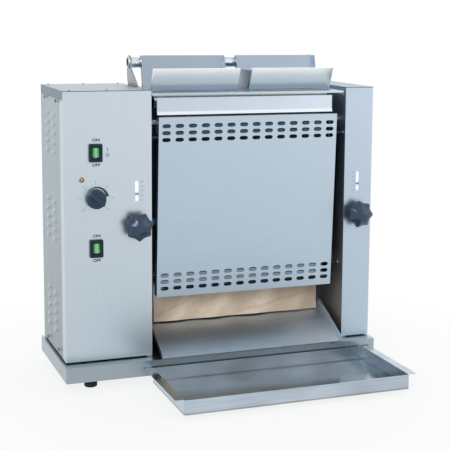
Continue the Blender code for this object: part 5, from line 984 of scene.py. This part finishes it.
def lip_straightened(bm):
    """The upper band's lip stands out less steeply in the photograph than in the solid."""
    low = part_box("upper_band")[0]
    for vert in bm.verts:
        share = 1 - (vert.co.z - low.z) / LIP_HEIGHT
        if share > 0 and vert.co.y < low.y + 2 * LIP_HEIGHT:
            vert.co.y += LIP_DRAW_BACK * share


# Star knobs, dial and lamp

STAR_LOBES = 7
STAR_LOBE_POINTS = 14
STAR_RADIUS = 25.2 * MM
STAR_SCALLOP = 4.6 * MM
STAR_TIP_ROUNDING = 0.16
STAR_HUB_SHARE = 11 / 25.2
STAR_TIP_ANGLES = {"left": 270, "right": 99.5}

# Rings of the star knob: share of its radius, depth in front of the panel in millimetres, share of scallop
STAR_NECK_RINGS = (
    (STAR_HUB_SHARE * 0.86, -0.9, 0), (STAR_HUB_SHARE * 0.94, -1.6, 0), (STAR_HUB_SHARE * 0.9, -8, 0),
    (STAR_HUB_SHARE, -11, 0.1), (0.62, -12.6, 0.5), (0.84, -13, 0.9), (0.94, -13.8, 1), (0.99, -15.2, 1),
    (1, -17, 1),
)
STAR_FACE_SHARES = (0.985, 0.96, 0.925, 0.88, 0.82, 0.75, 0.66, 0.56, 0.45, 0.33, 0.2, 0.1)
STAR_RIM_DEPTH = -18
STAR_DOME = 12.45
STAR_DOME_POWER = 2.2
STAR_SCALLOP_POWER = 1.2
STAR_CREASE_ANGLE = 60
LEAD_SCREW_RADIUS = 4 * MM
LEAD_SCREW_START = -2 * MM
LEAD_SCREW_POINT = 1 * MM
LEAD_SCREW_POINT_SHARE = 0.7
LEAD_SCREW_SIDES = 24

# Turned outlines, each a row of radius and distance behind the panel's face in millimetres
DIAL_PROFILE = (
    (0, 10), (3, 10), (3, -0.3), (16.3, -0.3), (16.8, -0.9), (16.7, -6), (16.5, -10.4), (16, -11.4),
    (14.9, -12), (11, -12.2), (0, -12.2),
)
LAMP_RING_PROFILE = ((3.2, 0.2), (4.9, 0.2), (5, -0.7), (4.6, -1.3), (3.9, -1.5), (3.4, -1.1), (3.2, -0.6))
LAMP_LENS_PROFILE = ((0, 0), (3.25, 0), (3.2, -1), (2.6, -2), (1.6, -2.7), (0.7, -2.95), (0, -3))
LAMP_BODY_PROFILE = ((0, 0.2), (3.7, 0.2), (3.7, 17), (3, 17.8), (0, 17.8))

# The dial's grip bar: share of its half width, and depth in millimetres
GRIP_RINGS = ((1, -11.6), (0.97, -17.2), (0.93, -18.4), (0.84, -19))
GRIP_POINTS = 32
GRIP_HALF_LENGTH = 16 * MM
GRIP_HALF_WIDTH = 3.9 * MM
GRIP_ANGLE = 138


def in_metres(profile):
    return [(radius * MM, reach * MM) for radius, reach in profile]


def star_rings():
    """The neck and rim of the star knob, and the dome of its face by a formula."""
    rings = list(STAR_NECK_RINGS)
    for share in STAR_FACE_SHARES:
        depth = STAR_RIM_DEPTH - STAR_DOME * (1 - share**STAR_DOME_POWER)
        rings.append((share, depth, share**STAR_SCALLOP_POWER))
    return rings


def star_knob(word):
    """A moulded star knob: scalloped rim, domed face, necked hub, and the lead screw behind it."""
    joint = body_joint(word + "_knob_turn")
    axis = Vector(joint["pos_m"])
    count = STAR_LOBES * STAR_LOBE_POINTS
    rings = []
    for share, depth, scallop in star_rings():
        ring = []
        for i in range(count):
            wave = math.sin(math.pi * STAR_LOBES * i / count)
            fall = math.hypot(wave, STAR_TIP_ROUNDING) - STAR_TIP_ROUNDING
            radius = (STAR_RADIUS - STAR_SCALLOP * fall * scallop) * share
            angle = FULL_TURN * i / count + STAR_TIP_ANGLES[word] * DEGREE
            ring.append(axis + Vector((radius * math.cos(angle), depth * MM, radius * math.sin(angle))))
        rings.append(ring)
    mesh = soften(skin_from(loft(rings)[0], "star"), STAR_CREASE_ANGLE)
    piece(mesh, word + "_star_moulding", joint["child"], "knob", [word + "_star_knob"])
    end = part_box(word + "_star_knob")[1].y - axis.y
    radius, point = LEAD_SCREW_RADIUS, LEAD_SCREW_RADIUS * LEAD_SCREW_POINT_SHARE
    profile = [(radius, LEAD_SCREW_START), (radius, end - LEAD_SCREW_POINT), (point, end)]
    mesh = lathe(profile, axis, LEAD_SCREW_SIDES)
    piece(mesh, word + "_lead_screw", joint["child"], "thread")


def make_dial():
    """The thermostat's dial: a round skirt with a rounded grip bar across it."""
    axis = joint_place("temperature_dial_turn")
    skirt = lathe(in_metres(DIAL_PROFILE), axis)
    piece(skirt, "dial_skirt", "temperature_dial", "dial", ["temperature_dial"])
    rings = []
    for share, depth in GRIP_RINGS:
        ring = []
        for x, z in circle(GRIP_HALF_WIDTH * share, GRIP_POINTS):
            end = math.copysign(GRIP_HALF_LENGTH - GRIP_HALF_WIDTH, x)
            ring.append((end + x, depth * MM, z))
        rings.append(ring)
    grip = soften(skin_from(loft(rings)[0], "grip"))
    grip.transform(Matrix.Translation(axis) @ Matrix.Rotation(-GRIP_ANGLE * DEGREE, 4, "Y"))
    piece(grip, "dial_grip", "temperature_dial", "dial")


def make_lamp():
    """The lamp: a brass ring, a domed amber lens and the body behind the panel."""
    centre = box_middle("heat_lamp")
    centre.y = BAY.y
    ring = lathe(in_metres(LAMP_RING_PROFILE), centre, joined=True)
    piece(ring, "lamp_ring", "chassis", "brass")
    piece(lathe(in_metres(LAMP_LENS_PROFILE), centre), "lamp_lens", "chassis", "lamp")
    body = lathe(in_metres(LAMP_BODY_PROFILE), centre)
    piece(body, "lamp_body", "chassis", "switch", ["heat_lamp"])


# Release sheets

SHEET_WIDTH = 320 * MM
SHEET_X = BAY.x - 3 * MM
CLOTH_THICKNESS = 0.5 * MM
CLOTH_SKIN = 0.4 * MM
CLOTH_DROP = 5 * MM
CLOTH_COLUMNS = 80
CLOTH_FREE_ROWS = 14
CLOTH_HELD_ROWS = 12
HANG_STAND_OFF = 4.2 * MM
HANG_CREASE = 2 * MM
HANG_RIPPLE = 0.5 * MM
RIPPLE_SCALE = (18, 22)
RIPPLE_SEED = 4


def make_release_sheet(word, outwards):
    """Coated cloth held under the platen's cap, flat down the plate, then free, creased and swayed."""
    node = word + "_release_sheet"
    low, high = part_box(node)
    low.z -= CLOTH_DROP
    face_y = high.y - CLOTH_SKIN if outwards < 0 else low.y + CLOTH_SKIN
    free = PLATEN_BOTTOM_Z - low.z
    heights = [low.z + free * i / CLOTH_FREE_ROWS for i in range(CLOTH_FREE_ROWS + 1)]
    held = high.z - PLATEN_BOTTOM_Z
    heights += [PLATEN_BOTTOM_Z + held * (i + 1) / CLOTH_HELD_ROWS for i in range(CLOTH_HELD_ROWS)]
    bm = bmesh.new()
    rows = []
    for z in heights:
        slack = max(0, (PLATEN_BOTTOM_Z - z) / free)
        row = []
        for i in range(CLOTH_COLUMNS + 1):
            x = SHEET_X + SHEET_WIDTH * (i / CLOTH_COLUMNS - 0.5)
            row.append(bm.verts.new((x, face_y + outwards * slack * hang_of(x, z), z)))
        rows.append(row)
    spread(bm, rows)
    mesh = with_modifier(skin_from(bm, node), "SOLIDIFY", thickness=CLOTH_THICKNESS, offset=0)
    mesh = soften(mesh, CLOTH_CREASE_ANGLE)
    made = piece(mesh, word + "_release_cloth", "chassis", "cloth", [node])


def hang_of(x, z):
    """How far the free cloth stands off at a place: a sway, slanting creases and small ripples."""
    slanted = (x - CREASE_SLANT * (z - BAY.z)) / CREASE_PITCH
    ridge = 1 - abs(2 * (slanted % 1) - 1)
    soft = ridge * ridge * (3 - 2 * ridge)
    ripple = noise.noise(Vector((x * RIPPLE_SCALE[0], z * RIPPLE_SCALE[1], RIPPLE_SEED)))
    return HANG_STAND_OFF + (soft - 0.5) * HANG_CREASE + ripple * HANG_RIPPLE


# Printed marks

PRINT_Y = BAY.y - INK_DEPTH / 2
WORD_SIZE = 6.8 * MM
WORD_BOLDNESS = 0.035
FIGURE_BOLDNESS = 0.02
SWITCH_WORDS = (("on", "ON", 21.6 * MM, 13 * MM), ("off", "OFF", -20.8 * MM, 14 * MM))
SWITCH_WORD_SHIFT = 1 * MM
SIGN_SIZE = 7.6 * MM
SIGN_SHIFT = 20.7 * MM
SIGNS = (("one", "I", 5.4 * MM), ("nought", "O", -4.3 * MM))
DIAL_START = 222
DIAL_SWEEP = -264
DIAL_FIGURES = 7
DIAL_FIGURE_SIZE = 3.6 * MM
DIAL_FIGURE_RADIUS = 28.8 * MM
DIAL_LONG_TICKS = (24.8 * MM, DIAL_FIGURES, 2.2 * MM, 0.6 * MM, LONG_TICK_DEPTH)
DIAL_SHORT_TICKS = (24.4 * MM, 31, 1.1 * MM, 0.35 * MM)
HEAT_WEDGE_STEPS = 40
HEAT_WEDGE_ANGLES = (138, 8)
HEAT_WEDGE_INNER = 18.3 * MM
HEAT_WEDGE_WIDTHS = (0.5 * MM, 5.3 * MM)
GAUGE_LOW_Z = BAY.z + 279 * MM
GAUGE_FIGURES = 5
GAUGE_FIGURE_SIZE = 3.2 * MM
GAUGE_PITCH = 8 * MM
GAUGE_SCALE_SHIFT = 6.4 * MM
GAUGE_FIGURE_SHIFT = 4 * MM
GAUGE_LONG_TICK_SHIFT = 0.5 * MM
GAUGE_LONG_TICKS = (GAUGE_PITCH, GAUGE_FIGURES, 2.8 * MM, 0.5 * MM, LONG_TICK_DEPTH)
GAUGE_SHORT_TICKS = (GAUGE_PITCH / 2, 2 * GAUGE_FIGURES - 1, 1.8 * MM, 0.35 * MM)


def lettering(name, text, size, place, width=None):
    """Plain figures, or words set to a width, as thin print on a face that looks along -Y."""
    curve = bpy.data.curves.new(name, "FONT")
    curve.body = text
    curve.size = size
    curve.align_x = "CENTER"
    curve.align_y = "CENTER"
    curve.extrude = INK_DEPTH / 2
    curve.offset = (WORD_BOLDNESS if width else FIGURE_BOLDNESS) * size
    mesh = evaluated(bpy.data.objects.new("worker", curve))
    if width:
        xs = [vert.co.x for vert in mesh.vertices]
        mesh.transform(Matrix.Diagonal((width / (max(xs) - min(xs)), 1, 1, 1)))
    return printed(mesh, name, place, Matrix.Rotation(math.pi / 2, 4, "X"))


def mark_switches():
    for switch in ("power", "conveyor"):
        middle = box_middle(switch + "_switch_body")
        for word, text, rise, width in SWITCH_WORDS:
            place = (middle.x + SWITCH_WORD_SHIFT, PRINT_Y, middle.z + rise)
            lettering(f"{switch}_{word}_mark", text, WORD_SIZE, place, width)
    middle = box_middle("power_switch_body")
    for word, text, rise in SIGNS:
        lettering(f"power_{word}_mark", text, SIGN_SIZE, (middle.x + SIGN_SHIFT, PRINT_Y, middle.z + rise))


def mark_dial():
    centre = joint_place("temperature_dial_turn")
    centre.y = PRINT_Y
    dial_ticks("dial_long_ticks", centre, *DIAL_LONG_TICKS)
    dial_ticks("dial_short_ticks", centre, *DIAL_SHORT_TICKS)
    for i in range(DIAL_FIGURES):
        angle = (DIAL_START + DIAL_SWEEP * i / (DIAL_FIGURES - 1)) * DEGREE
        out = Vector((math.cos(angle), 0, math.sin(angle))) * DIAL_FIGURE_RADIUS
        lettering(f"dial_figure_{i}", str(i), DIAL_FIGURE_SIZE, centre + out)
    make_heat_wedge(centre)


def make_heat_wedge(centre):
    """The printed arc round the dial, growing wider towards its hot end."""
    (start, end), (narrow, wide) = HEAT_WEDGE_ANGLES, HEAT_WEDGE_WIDTHS
    inner = HEAT_WEDGE_INNER
    rings = []
    for i in range(HEAT_WEDGE_STEPS + 1):
        share = i / HEAT_WEDGE_STEPS
        angle = (start + (end - start) * share) * DEGREE
        outer = inner + narrow + (wide - narrow) * share
        ring = []
        for radius, side in ((inner, 0.5), (outer, 0.5), (outer, -0.5), (inner, -0.5)):
            ring.append((radius * math.cos(angle), side * INK_DEPTH, radius * math.sin(angle)))
        rings.append(ring)
    printed(skin_from(loft(rings)[0], "wedge"), "dial_heat_wedge", centre)


def mark_gauge(word, side):
    x = joint_place(word + "_knob_turn").x + side * GAUGE_SCALE_SHIFT
    row_ticks(word + "_gauge_ticks", (x, PRINT_Y, GAUGE_LOW_Z), *GAUGE_SHORT_TICKS)
    place = (x + side * GAUGE_LONG_TICK_SHIFT, PRINT_Y, GAUGE_LOW_Z)
    row_ticks(word + "_gauge_long_ticks", place, *GAUGE_LONG_TICKS)
    for i in range(GAUGE_FIGURES):
        place = (x + side * GAUGE_FIGURE_SHIFT, PRINT_Y, GAUGE_LOW_Z + i * GAUGE_PITCH)
        lettering(f"{word}_gauge_figure_{i}", str(i + 1), GAUGE_FIGURE_SIZE, place)


# Screws

SIDE_SCREWS = ((43 * MM, 449 * MM), (138 * MM, 449.5 * MM), (48 * MM, 14 * MM), (139 * MM, 14 * MM))
LID_SCREWS_X = (-323 * MM, -259 * MM, -195 * MM)
LID_SCREWS_Y = (8 * MM, 184 * MM)
REAR_SCREW_INSET_X = 9 * MM
REAR_SCREW_INSET_Z = 8 * MM


def make_screws():
    for node, corner, facing in (("left_side_cover", 0, -1), ("right_side_cover", 1, 1)):
        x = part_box(node)[corner].x
        places = [(x, BAY.y + y, BAY.z + z) for y, z in SIDE_SCREWS]
        screws(node.replace("cover", "screws"), places, (facing, 0, 0))
    low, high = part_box("rear_cover")
    places = []
    for x in (low.x + REAR_SCREW_INSET_X, (low.x + high.x) / 2, high.x - REAR_SCREW_INSET_X):
        places += [(x, high.y, z) for z in (low.z + REAR_SCREW_INSET_Z, high.z - REAR_SCREW_INSET_Z)]
    screws("rear_cover_screws", places, (0, 1, 0))
    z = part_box("left_top_lid")[1].z
    places = [(BAY.x + x, BAY.y + y, z) for y in LID_SCREWS_Y for x in LID_SCREWS_X]
    screws("left_lid_screws", places, (0, 0, 1), LID_SCREW_RADIUS)


# CAD nodes and their finishes: finish, slot, width of the eased edges in millimetres, nodes

DRESSED = (
    ("base", "base_steel", 0.5, "base_plinth"),
    ("panel", "panel_steel", 0.4, "left_front_panel"),
    ("right_panel", "panel_steel", 0.4, "right_front_panel"),
    ("side", "side_steel", 0.3, "left_side_cover", "rear_cover"),
    ("side", "side_steel", 0.4, "right_side_cover"),
    ("lid", "lid_steel", 0.4, "left_top_lid", "right_top_lid"),
    ("wall", "wall_steel", 0.3, "left_inner_wall", "right_inner_wall"),
    ("cover", "cover_steel", 0.3, "front_cover"),
    ("band", "bay_steel", 0.4, "upper_band"),
    ("deck", "bay_steel", 0.4, "bun_deck", "platen_cap"),
    ("feeder", "feeder_steel", 0.3, "feeder_frame"),
    ("flap", "feeder_steel", 0.4, "front_flap_left", "front_flap_right"),
    ("plate", "feeder_steel", 0.4, "rear_chute_plate_left", "rear_chute_plate_right"),
    ("rod", "rod_steel", 0.5, "feeder_rod"),
    ("arm", "arm_steel", 0.4, "left_rod_arm", "right_rod_arm"),
    ("chute", "chute_steel", 0.3, "discharge_chute"),
    ("tray", "tray_steel", 0.4, "discharge_tray"),
    ("platen", "platen_aluminium", 0.6, "heated_platen"),
    ("element", "element_steel", 0.2, "heating_element"),
    ("conveyor", "conveyor_steel", 0.3, "front_conveyor_frame", "rear_conveyor_frame"),
    ("roller", "roller_aluminium", 0.4, "front_idler_roller", "rear_idler_roller"),
    ("roller", "roller_aluminium", 0.4, "front_drive_roller", "rear_drive_roller"),
    ("gear", "gear_steel", 0.2, "front_drive_gear", "rear_drive_gear", "motor_pinion", "idler_gear"),
    ("motor", "motor_grey", 0.6, "drive_motor"),
    ("thermostat", "thermostat_grey", 0.5, "thermostat"),
    ("terminal", "terminal_cream", 0.4, "terminal_block"),
    ("switch", "switch_black", 0.5, "cord_gland", "power_switch_body", "conveyor_switch_body"),
    ("rocker", "rocker_green", 0.4, "power_rocker", "conveyor_rocker"),
    ("gauge", "gauge_white", 0.3, "left_gauge_plate", "right_gauge_plate"),
    ("pointer", "pointer_black", 0.2, "left_gauge_pointer", "right_gauge_pointer"),
    ("foot", "foot_rubber", 0.6, "foot_front_left", "foot_front_right"),
    ("foot", "foot_rubber", 0.6, "foot_rear_left", "foot_rear_right"),
)
RESHAPED = {"front_cover": slots_opened_out, "upper_band": lip_straightened}


def dress(node, finish, width):
    """A CAD node shown as one whole mesh, with small eased edges that catch the light."""
    bm = bmesh.new()
    bm.from_mesh(frame["nodes"][node].data)
    bmesh.ops.remove_doubles(bm, verts=bm.verts, dist=WELD)
    bmesh.ops.dissolve_limit(bm, angle_limit=FLAT_ANGLE * DEGREE, verts=bm.verts, edges=bm.edges)
    if node in RESHAPED:
        RESHAPED[node](bm)
    edges = {"width": width, "segments": EDGE_SEGMENTS, "use_clamp_overlap": True}
    edges.update(limit_method="ANGLE", angle_limit=EASED_ANGLE * DEGREE)
    mesh = soften(with_modifier(mesh_from(bm, node), "BEVEL", **edges))
    mesh = with_modifier(mesh, "WEIGHTED_NORMAL", keep_sharp=True)
    body = next(name for name, nodes in frame["record"]["behaviour"]["bodies"].items() if node in nodes)
    piece(mesh, node + "_dressed", body, finish, [node])


# Camera, fitted to the photograph's edges, in metres, degrees, pixels and millimetres

CAMERA_PLACE = (-0.683747, -1.930778, 0.645919)
CAMERA_YAW = 21.604
CAMERA_PITCH = 8.109
CAMERA_ROLL = 0.625
FOCUS_PIXELS = 1173.346
FRAME_PIXELS = 450
FRAME_CENTRE_PIXEL = (267.183, 180)
SENSOR = 36

# Light and floor: name, place, size and power of each lamp, in metres and watts

LAMP_TARGET = (0, 0.1, 0.3)
STUDIO_LAMPS = (
    ("key_light", (-1.6, -2.3, 1.6), (1, 1), 28),
    ("fill_light", (1.9, -1.6, 1.1), (2.4, 2.4), 10),
    ("rear_light", (0.6, 1.9, 1.8), (2.4, 1.8), 14),
)
WHITE = (1, 1, 1, 1)
SOFT_SKY = (0.93, 0.96, 1, 1)
SOFT_SKY_STRENGTH = 0.62
FLOOR_TONE = (0.92, 0.92, 0.93, 1)
FLOOR_HALF_SIZE = 12

# How white the floor is seen: two distances from its middle in metres, and the share of white at each
FLOOR_WHITENING = (0.3, 0.8, 0.82, 1)


def make_camera():
    yaw, pitch, roll = (angle * DEGREE for angle in (CAMERA_YAW, CAMERA_PITCH, CAMERA_ROLL))
    ahead = Vector((math.sin(yaw) * math.cos(pitch), math.cos(yaw) * math.cos(pitch), -math.sin(pitch)))
    level = Vector((math.cos(yaw), -math.sin(yaw), 0))
    over = level.cross(ahead)
    right = math.cos(roll) * level + math.sin(roll) * over
    up = math.cos(roll) * over - math.sin(roll) * level
    data = bpy.data.cameras.new("camera")
    data.lens = FOCUS_PIXELS / FRAME_PIXELS * SENSOR
    data.sensor_width = SENSOR
    data.shift_x = (FRAME_PIXELS / 2 - FRAME_CENTRE_PIXEL[0]) / FRAME_PIXELS
    data.shift_y = (FRAME_CENTRE_PIXEL[1] - FRAME_PIXELS / 2) / FRAME_PIXELS
    camera = bpy.data.objects.new("camera", data)
    turn = Matrix((right, up, -ahead)).transposed().to_4x4()
    camera.matrix_world = Matrix.Translation(CAMERA_PLACE) @ turn
    bpy.context.scene.collection.objects.link(camera)
    bpy.context.scene.camera = camera


def seen_directly(graph):
    """1 for rays from the camera and those mirrored or passed on by gloss and glass."""
    kinds = ("Is Camera Ray", "Is Glossy Ray", "Is Transmission Ray")
    camera, gloss, clear = (graph.node("ShaderNodeLightPath", output=kind) for kind in kinds)
    return camera.most(gloss).most(clear)


def make_world():
    world = bpy.data.worlds.new("studio")
    world.use_nodes = True
    bpy.context.scene.world = world
    graph = Graph(world.node_tree)
    graph.tree.nodes.clear()
    white = graph.node("ShaderNodeBackground", values={"Color": WHITE, "Strength": 1})
    soft = graph.node("ShaderNodeBackground", values={"Color": SOFT_SKY, "Strength": SOFT_SKY_STRENGTH})
    mixed = graph.node("ShaderNodeMixShader", values={0: seen_directly(graph), 1: soft, 2: white})
    graph.node("ShaderNodeOutputWorld", values={"Surface": mixed})


def make_lamps():
    for name, place, size, power in STUDIO_LAMPS:
        data = bpy.data.lights.new(name, "AREA")
        data.shape = "RECTANGLE"
        data.size, data.size_y = size
        data.energy = power
        light = bpy.data.objects.new(name, data)
        aim = (Vector(LAMP_TARGET) - Vector(place)).to_track_quat("-Z", "Y")
        light.matrix_world = Matrix.Translation(place) @ aim.to_matrix().to_4x4()
        bpy.context.scene.collection.objects.link(light)


def make_floor():
    """A pale floor that keeps the object's shadow and fades to white away from it."""
    bm = bmesh.new()
    bmesh.ops.create_grid(bm, x_segments=1, y_segments=1, size=FLOOR_HALF_SIZE)
    floor = bpy.data.objects.new("studio_floor", mesh_from(bm, "studio_floor"))
    bpy.context.scene.collection.objects.link(floor)
    pale = Finish("studio_floor", base_color=FLOOR_TONE, roughness=0.7)
    glow = pale.node("ShaderNodeEmission", values={"Color": WHITE, "Strength": 1})
    away = pale.node("ShaderNodeVectorMath", {"operation": "LENGTH"}, {0: pale.place}, "Value")
    share = seen_directly(pale) * away.eased(*FLOOR_WHITENING)
    mixed = pale.node("ShaderNodeMixShader", values={0: share, 1: pale.shader, 2: glow})
    pale.put(mixed, pale.out.inputs["Surface"])
    floor.data.materials.append(pale.material)


make_camera()
finishes = make_finishes()
for finish, slot, edge, *nodes in DRESSED:
    for node in nodes:
        dress(node, finish, edge * MM)
for word in ("left", "right"):
    star_knob(word)
make_dial()
make_lamp()
for word in ("front", "rear"):
    ribbed_belt(word)
make_louvres()
make_slot_tabs()
make_release_sheet("front", -1)
make_release_sheet("rear", 1)
mark_switches()
mark_dial()
mark_gauge("left", 1)
mark_gauge("right", -1)
make_screws()
bpy.context.scene.view_settings.view_transform = "Standard"
make_world()
make_lamps()
make_floor()
